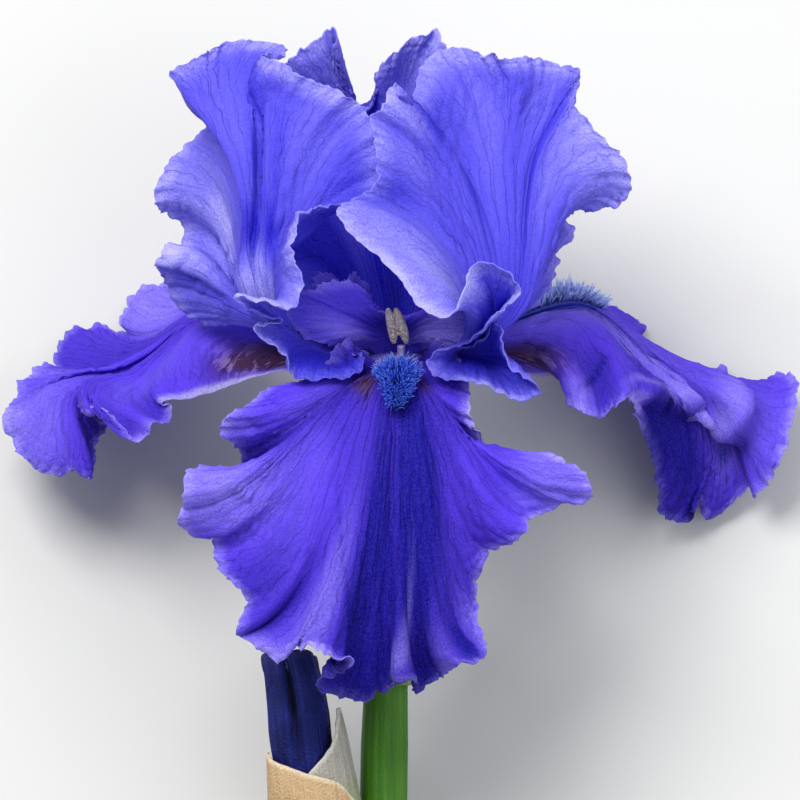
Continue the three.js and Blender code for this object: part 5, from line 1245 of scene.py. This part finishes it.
# Standards. The three upper petals rise between the falls, arch up and lean together over the heart.
# They are thinner and paler than the falls, satin, with dark forking veins and frilled lilac rims.
STANDARD_LEFT = {
    "side": (1, 0, 0), "claw": (0.9, -1.5, 0),
    "rib": [
        (-4.8, -2.7, 1), (-11, -6.5, 6), (-20, -10.5, 10.5), (-27, -13.4, 16), (-30.4, -15.4, 24),
        (-31, -16.4, 33), (-33, -16.4, 42), (-36, -15, 49), (-39.4, -12.6, 55), (-42, -10, 59.4)],
    "margin": [
        (-5.8, -1, 1), (-12, -1, 7), (-20, 1, 11), (-30, 4, 12.6), (-38, 7, 12.4), (-42.8, 9, 14.6),
        (-45.6, 7.6, 19, 1.2, 2), (-47.6, 4, 22.4, 1, 2.4), (-48, 0, 25, 0.9, 2.6),
        (-45.8, 1, 26.6, 0.8, 2.6), (-43.6, 8, 28, 0.8, 2.6), (-43.4, 12, 31, 0.8, 2.6),
        (-45.4, 12, 34, 0.8, 2.6), (-48, 8, 36.2, 0.8, 2.6), (-48, 6, 39.4, 0.8, 2.6),
        (-46, 5, 44, 0.8, 2.6), (-42.6, 6, 47.8, 0.8, 2.6), (-39.2, 8, 50.6, 0.8, 2.6),
        (-37.6, 6, 51.6, 0.9, 2.2), (-40.8, -4, 55), (-43.6, -9, 59.6), (-45.2, -10, 62.4),
        (-41.6, -10, 64.2), (-37.4, -9, 66.6), (-33.8, -6, 68.4), (-28.8, -4, 68.8), (-24, -3, 68),
        (-21.6, -4, 66.6), (-24.8, -9, 66), (-26.4, -14, 65.4), (-23, -17, 64.4), (-18.4, -18, 61.4),
        (-13, -18, 59.2), (-8.4, -17, 56.8), (-5.2, -17, 53.4), (-4, -18, 49), (-3.4, -19, 44.6),
        (-3.6, -21, 37.8), (-8.4, -24, 35.8), (-13.6, -26.5, 35.6), (-18, -28, 34.6), (-20, -29, 30.6),
        (-20.6, -30, 26.6), (-19.2, -31, 22.6), (-18.8, -32, 18.4), (-21, -34, 15.2), (-26, -37, 16.4),
        (-31.6, -38, 17.6), (-29, -35, 14.8), (-23, -31, 12.8), (-25.6, -30, 11.8), (-27.4, -30, 11),
        (-25, -29, 8), (-21.6, -28.4, 5.8), (-20.8, -28, 3), (-19.6, -27.4, 1), (-15, -26, 0.9),
        (-10.2, -24.6, 1.4), (-7, -22.6, 2.8), (-6.2, -20, 5), (-8, -16, 6.2), (-7.2, -11.4, 6.4),
        (-5.4, -7.2, 5), (-3.8, -4.4, 1)]}
STANDARD_RIGHT = {
    "side": (1, 0, 0), "claw": (0.9, 1.5, 0),
    "rib": [
        (4.8, -2.7, 1), (11, -7, 5.5), (18.6, -11, 10), (23.6, -13.4, 17), (25, -14, 26), (25.6, -13.6, 36),
        (27, -12, 45), (30, -10.6, 52), (33.6, -9.6, 58.4)],
    "margin": [
        (3.8, -4.4, 1), (5.4, -7.4, 4.8), (7.2, -11.4, 6.6), (9.6, -15.4, 7.4), (13, -19, 7.4),
        (17.4, -22.6, 9), (19.2, -26, 12.6), (21.2, -29, 10), (21.6, -29.6, 5), (24.6, -30, 2.2),
        (28, -29, 0.2), (28.8, -27.5, -2), (25, -27, -2.8), (20.6, -27.4, -1.4), (16, -27.4, 0.6),
        (11.4, -26.4, 0.9), (7.4, -23.6, 2.2), (6, -22, 4.6), (9.4, -23.4, 7), (14.6, -27.6, 8.6),
        (18.8, -31, 12.8), (22.6, -34, 16.2), (24.8, -35, 18.8, 1.6, 1.5), (22.6, -35.5, 21.8, 1.4, 1.6),
        (18.6, -35, 24.2, 1.3, 1.7), (15, -34, 23.4, 1.2, 1.7), (13.4, -36, 18, 1.2, 1.8),
        (11.8, -39, 14.2, 1.2, 1.8), (8, -40, 13.4, 1.2, 1.8), (4, -40, 16, 1.2, 1.8),
        (0, -39, 21.4, 1.3, 1.7), (-4.6, -38, 26, 1.4, 1.6), (-9.2, -37, 30, 1.5, 1.5),
        (-12, -35, 33.4, 1.7, 1.5), (-10.4, -32, 36), (-5.6, -30, 38), (-3.4, -28, 41), (-4, -27, 46),
        (-5.2, -26, 51.4), (-4, -25.4, 55), (-1.2, -25.6, 58.2), (1.2, -25, 59.8), (2.4, -22.4, 58),
        (3.4, -19, 57.4), (4, -16, 61), (6.8, -13.6, 65.6), (11.4, -12, 67.4), (15.6, -12.6, 66.6),
        (19.4, -15, 65), (22.4, -13, 65), (26.4, -10, 65.4), (30.4, -8.6, 64.6), (34.4, -10, 63.8),
        (36.6, -11, 62.4), (36.4, -10.6, 59.6), (35.6, -10.6, 56.8), (38, -12.6, 53.2), (41.8, -13.6, 49.4),
        (45.8, -13.6, 45), (47, -12.4, 40.8), (45.6, -9.6, 36.6), (41.6, -7.6, 34.8), (37, -4, 35),
        (33, 1, 34), (32.2, 5, 32.8), (35, 5, 31.4), (34.4, 4.6, 28.6), (31.2, 4.6, 26.8), (32.4, 5, 24.4),
        (31, 4.6, 20), (27, 3.6, 15.6), (18, 2.5, 11), (10, 0, 6), (5.8, -1, 1)]}
STANDARD_BACK = {
    "side": (1, 0, 0), "claw": (2, 0, 0),
    "rib": [
        (0, 5.5, 1), (0, 12, 6), (0, 19, 14), (-1, 23, 27), (-2, 23.5, 41), (-4.5, 21, 52), (-7, 19, 56.5)],
    "margin": [
        (-2.2, 5.5, 1), (-6, 10, 7), (-13, 14, 12), (-21, 16, 19), (-26, 17, 27), (-29, 15, 36),
        (-28.6, 14, 45), (-26, 13, 54), (-24, 12, 62), (-19.6, 9, 67), (-16, 8, 69.4), (-12.8, 8, 71.6),
        (-12.8, 10, 67.4), (-12.8, 13, 62.4), (-11.8, 16, 58.4), (-7.4, 19, 55.6), (-4.8, 18, 57),
        (-3.8, 15, 61.4), (-2.6, 11, 65), (1, 8, 68), (4.6, 6, 69.6), (8, 5, 70.6), (10.2, 4.5, 67.6),
        (14, 7, 63), (19, 10, 56), (24, 13, 46), (26, 15, 36), (24, 16, 27), (19, 16, 19), (12, 14, 12),
        (6, 10, 7), (2.2, 5.5, 1)]}
STANDARD_COLOURS = {
    "Body": (0.120, 0.096, 0.790, 1), "Deep Colour": (0.009, 0.005, 0.620, 1),
    "Pale Colour": (0.46, 0.43, 0.97, 1), "Vein Colour": (0.016, 0.010, 0.270, 1),
    "Haft Colour": HAFT_MAUVE, "Haft Vein Colour": HAFT_MAROON,
    "Edge Colour": (0.58, 0.55, 0.97, 1), "White Colour": PETAL_WHITE}
standard_satin = petal_material(
    "standard_satin", STANDARD_COLOURS,
    {"Rim Pallor": 0.38, "Rim Reach": 8.0, "Vein Strength": 0.72, "Edge Strength": 0.1},
    vein_width=0.24, light_share=0.38, Roughness=0.52, Specular_IOR_Level=0.16,
    Sheen_Weight=0.05, Sheen_Roughness=0.4, Sheen_Tint=(0.5, 0.47, 1.0, 1))
petal("left_standard", STANDARD_LEFT, standard_satin, "standard_left", veins=38, seed=13,
      pleats=[
          (7.0, 0.7, 0.7, 0.50, 0.90, 1.0, 0.6), (8.8, 0.9, 0.8, 0.45, 0.85, -1.5, -1.0),
          (11.0, 1.0, 1.0, 0.40, 0.85, 1.3, 1.0), (13.4, 1.2, 1.2, 0.40, 0.80, -1.0, -0.8),
          ((23.6, 17.4), 4.2, 0.45, 0.24, 0.60, 3.4, 0.3), ((24.8, 18.8), 0.5, 1.6, 0.26, 0.70, -0.8, -0.4),
          ((24.0, 22.2), 0.7, 0.7, 0.45, 0.85, 0.8, 0.5), (25.6, 1.0, 1.0, 0.50, 0.90, -0.7, -0.3),
          ((21.0, 30.8), 2.4, 0.3, 0.20, 0.60, -1.7, -0.3), ((22.2, 32.0), 0.5, 1.6, 0.20, 0.60, 1.5, 0.6),
          (32.4, 0.7, 0.7, 0.50, 0.90, -0.8, -0.4), (33.8, 0.6, 0.8, 0.45, 0.90, 0.8, 0.4),
          (35.2, 0.8, 0.8, 0.45, 0.90, -0.9, -0.5), (36.8, 0.8, 0.8, 0.50, 0.90, 1.0, 0.7),
          (44.0, 0.9, 0.6, 0.45, 0.90, 1.0, 0.3), (51.0, 0.7, 0.7, 0.50, 0.90, -0.7, -0.5),
          (54.0, 0.7, 0.5, 0.50, 0.90, -0.9, -0.6), (55.2, 0.5, 0.9, 0.50, 0.90, 0.9, 0.5)],
      # Pale dabs: the paler back lobe, and painted light on the triangle under the fold near the claw.
      pale=[
          (12.4, 0.84, 4.4, 0.44, 0.50), (13.8, 0.55, 1.6, 0.10, 0.45), (8.8, 0.92, 1.0, 0.22, 0.55),
          (5.2, 0.92, 1.2, 0.22, 0.20), (41.4, 0.95, 1.2, 0.08, 0.50), (46.3, 0.86, 1.5, 0.22, 0.70),
          (43.6, 0.90, 1.0, 0.16, 0.40), (50.6, 0.90, 1.6, 0.20, 0.40), (29.0, 0.97, 7.0, 0.06, 0.22),
          (24.0, 0.75, 2.0, 0.30, 0.10), (33.0, 0.80, 1.4, 0.22, 0.12),
          (25.6, 0.225, 5.0, 0.045, 1.5), (31.6, 0.29, 3.4, 0.055, 1.5), (36.4, 0.41, 2.4, 0.070, 1.3)],
      # Deep dabs: deeper pigment, and painted shade above that fold line, in the throat and in the pockets
      # under the lips.
      deep=[
          (28.6, 0.66, 0.8, 0.26, 0.60), (37.0, 0.92, 2.0, 0.20, 0.35), (7.0, 0.75, 0.7, 0.20, 0.35),
          (30.0, 0.10, 40.0, 0.22, 0.45), (48.4, 0.80, 0.8, 0.25, 0.50), (31.0, 0.60, 0.6, 0.22, 0.35),
          (57.0, 0.82, 4.5, 0.40, 0.85), (26.5, 0.42, 1.2, 0.16, 0.35), (24.4, 0.72, 2.4, 0.20, 0.22),
          (26.0, 0.33, 5.0, 0.040, 0.75), (32.4, 0.42, 3.0, 0.045, 0.75), (37.4, 0.57, 1.8, 0.060, 0.65)],
      # White dabs: the pale turned lips and rims, and one painted highlight on the back lobe.
      white=[
          (14.2, 0.52, 0.8, 0.06, 0.35), (8.4, 0.96, 1.0, 0.05, 0.45), (46.2, 0.93, 1.2, 0.08, 0.60),
          (52.6, 0.985, 1.4, 0.02, 0.35)],
      calm=[(51.0, 11.0, 0.35), (18.6, 2.0, 0.95)],
      folds=[([
          (19.0, 0.24), (24.0, 0.25), (28.2, 0.27), (32.0, 0.35), (36.0, 0.47), (39.5, 0.62)],
          0.10, 0.035, -2.6)])
petal("right_standard", STANDARD_RIGHT, standard_satin, "standard_right", veins=38, seed=17,
      pleats=[
          (10.5, 1.0, 0.8, 0.50, 0.90, -0.8, -0.5), (12.4, 0.7, 0.9, 0.50, 0.90, 0.8, 0.4),
          (23.6, 1.6, 1.6, 0.30, 0.75, 2.6, 0.0), (26.4, 0.7, 0.9, 0.45, 0.90, -1.4, -0.6),
          (30.0, 1.2, 1.2, 0.45, 0.90, -0.8, -0.4), (33.6, 1.2, 0.8, 0.40, 0.85, -1.9, -1.0),
          (35.3, 0.9, 1.3, 0.40, 0.85, 1.7, 1.0), (37.8, 0.9, 0.9, 0.45, 0.90, -1.0, -0.5),
          (39.4, 0.7, 0.5, 0.60, 0.92, -1.2, -1.4), ((47.0, 40.8), 0.7, 1.2, 0.25, 0.70, 2.0, 2.2),
          ((48.6, 43.4), 0.8, 0.8, 0.35, 0.80, -1.0, -0.6), (46.0, 0.9, 0.8, 0.50, 0.90, 0.9, 0.4),
          (48.1, 0.5, 0.5, 0.55, 0.95, 1.3, 1.2), (49.4, 0.8, 0.8, 0.50, 0.90, -0.9, -0.4),
          (51.4, 0.6, 0.6, 0.50, 0.95, 0.8, 0.6), ((52.2, 54.0), 2.0, 0.5, 0.20, 0.60, 2.0, 0.8),
          ((53.4, 55.2), 0.5, 1.8, 0.22, 0.62, -1.6, -0.6), (58.0, 1.6, 1.8, 0.45, 0.90, -1.4, -0.8),
          (60.4, 0.8, 0.8, 0.50, 0.90, 0.9, 0.6), (65.2, 0.7, 0.6, 0.50, 0.90, -0.8, -0.6),
          (67.2, 0.7, 0.7, 0.50, 0.90, 0.9, 0.6)],
      # Pale and white dabs are pale pigment and painted highlights on the lit folds; deep dabs are deeper
      # pigment and painted shade in the pockets under the curled lobes and down the throat.
      pale=[
          (30.6, 0.80, 3.6, 0.42, 0.60), (39.9, 0.93, 0.8, 0.12, 0.60), (48.0, 0.96, 4.5, 0.08, 0.25),
          (58.4, 0.88, 2.4, 0.24, 0.50), (66.6, 0.92, 1.6, 0.16, 0.35), (26.0, 0.90, 0.7, 0.16, 0.60),
          (20.2, 0.85, 0.7, 0.20, 0.30), (12.0, 0.90, 1.6, 0.20, 0.20), (37.6, 0.88, 1.0, 0.16, 0.22),
          (46.2, 0.72, 1.6, 0.26, 0.14), (51.0, 0.80, 1.2, 0.26, 0.14), (56.4, 0.62, 1.4, 0.22, 0.22)],
      deep=[
          (23.6, 0.68, 1.9, 0.26, 0.70), (41.0, 0.86, 0.8, 0.14, 0.85), (48.1, 0.96, 0.5, 0.10, 0.60),
          (35.4, 0.92, 1.2, 0.14, 0.45), (63.6, 0.93, 0.8, 0.12, 0.85), (53.4, 0.55, 0.5, 0.26, 0.65),
          (42.4, 0.60, 0.5, 0.20, 0.55), (40.0, 0.10, 50.0, 0.22, 0.40), (8.0, 0.50, 4.0, 0.40, 0.25),
          (13.0, 0.76, 4.0, 0.34, 0.75)],
      white=[
          (29.0, 0.985, 2.4, 0.02, 0.50), (25.8, 0.97, 1.2, 0.05, 0.55), (21.4, 0.94, 0.6, 0.08, 0.75),
          (31.0, 0.70, 1.2, 0.12, 0.30), (13.4, 0.985, 1.4, 0.02, 0.45)],
      calm=[(14.0, 12.0, 0.35), (28.0, 7.0, 0.60)])
petal("back_standard", STANDARD_BACK, standard_satin, "standard_back", veins=26, seed=19,
      pleats=[
          (3.6, 0.7, 0.5, 0.25, 0.80, 1.6, 0.8), (5.4, 0.5, 0.6, 0.25, 0.80, -1.3, -0.7),
          (7.4, 0.7, 0.6, 0.25, 0.80, 1.3, 0.6), (9.6, 0.7, 0.7, 0.45, 0.90, -1.2, -0.6),
          (11.2, 0.6, 0.6, 0.50, 0.90, 0.9, 0.8), (15.2, 1.6, 1.6, 0.40, 0.90, 1.5, 0.8),
          (18.4, 0.8, 0.8, 0.50, 0.90, -1.2, -0.8), (20.2, 0.7, 0.7, 0.50, 0.90, 1.0, 0.8),
          (22.4, 0.7, 0.7, 0.50, 0.90, -0.9, -0.5)],
      # The pale dabs are painted light on the two tips; the deep dabs are painted shade in the throat, over
      # the petal's deeper colour low down.
      pale=[(9.6, 0.88, 3.0, 0.22, 0.42), (21.0, 0.88, 3.2, 0.24, 0.60), (8.6, 0.47, 2.6, 0.08, 0.45)],
      deep=[(15.5, 0.20, 14.0, 0.30, 0.85), (4.6, 0.58, 0.8, 0.30, 0.60), (3.0, 0.50, 1.2, 0.40, 0.50),
            (8.8, 0.35, 0.7, 0.20, 0.50)])


# Floor, lights and camera. A plain pale floor, broad soft lights from above the flower's head, a weak
# fill from its foot, and a long lens that looks straight down the axis the photo looks along.
FLOOR_HALF, FLOOR_Z = 4.0, -0.0005  # metres; just below the flower's lowest point
FLOOR_PALE = (0.52, 0.52, 0.51, 1)
PICTURE_WIDTH = 160.0  # millimetres across the picture at the heart
PICTURE_CENTRE = (0.8, 0, -3.0)
CAMERA_BACK = 4000.0
SENSOR_WIDTH = 36
LIGHTS_AIM = (0, 0, 10)
STUDIO_COLOUR, STUDIO_STRENGTH = (0.92, 0.95, 1.0, 1), 0.45

floor_mesh = bpy.data.meshes.new("floor")
floor_corners = [(x * FLOOR_HALF, y * FLOOR_HALF, FLOOR_Z) for x, y in ((-1, -1), (1, -1), (1, 1), (-1, 1))]
floor_mesh.from_pydata(floor_corners, [], [(0, 1, 2, 3)])
floor = bpy.data.objects.new("floor", floor_mesh)
bpy.context.scene.collection.objects.link(floor)
floor_material, tree, shader = new_material("floor_pale", Roughness=0.9, Specular_IOR_Level=0.2)
shader.inputs["Base Color"].default_value = FLOOR_PALE
floor_mesh.materials.append(floor_material)


def add_light(name, direction, distance, size, power, colour):
    """A square soft light that faces the flower. Its direction is from the heart of the upright flower."""
    data = bpy.data.lights.new(name, "AREA")
    data.shape, data.size, data.energy, data.color = "SQUARE", size, power, colour
    lamp = bpy.data.objects.new(name, data)
    bpy.context.scene.collection.objects.link(lamp)
    place = lay(unit(np.array(direction, float)) * distance * 1000)
    lamp.location = place
    lamp.rotation_euler = Vector(lay(LIGHTS_AIM) - place).to_track_quat("-Z", "Y").to_euler()


add_light("key_light", (-0.45, -0.95, 0.75), distance=1.1, size=0.6, power=16.5, colour=(1.0, 0.99, 0.97))
add_light("fill_light", (0.7, -1.0, -0.15), distance=1.3, size=1.0, power=7.0, colour=(0.95, 0.97, 1.0))
add_light("top_light", (0.5, -0.5, 1.0), distance=1.4, size=1.2, power=7.0, colour=(0.97, 0.98, 1.0))

world = bpy.data.worlds.new("studio")
bpy.context.scene.world = world
world.use_nodes = True
background = world.node_tree.nodes["Background"]
background.inputs["Color"].default_value = STUDIO_COLOUR
background.inputs["Strength"].default_value = STUDIO_STRENGTH
bpy.context.scene.view_settings.view_transform = "Standard"

camera_data = bpy.data.cameras.new("camera")
camera = bpy.data.objects.new("camera", camera_data)
bpy.context.scene.collection.objects.link(camera)
target = lay(PICTURE_CENTRE)
camera.location = lay((PICTURE_CENTRE[0], -CAMERA_BACK, PICTURE_CENTRE[2]))
camera.rotation_mode = "QUATERNION"
camera.rotation_quaternion = Vector(target - np.array(camera.location)).to_track_quat("-Z", "Y")
camera_data.sensor_width = SENSOR_WIDTH
camera_data.lens = SENSOR_WIDTH * CAMERA_BACK / PICTURE_WIDTH
camera_data.clip_start, camera_data.clip_end = 0.5, 20
bpy.context.scene.camera = camera
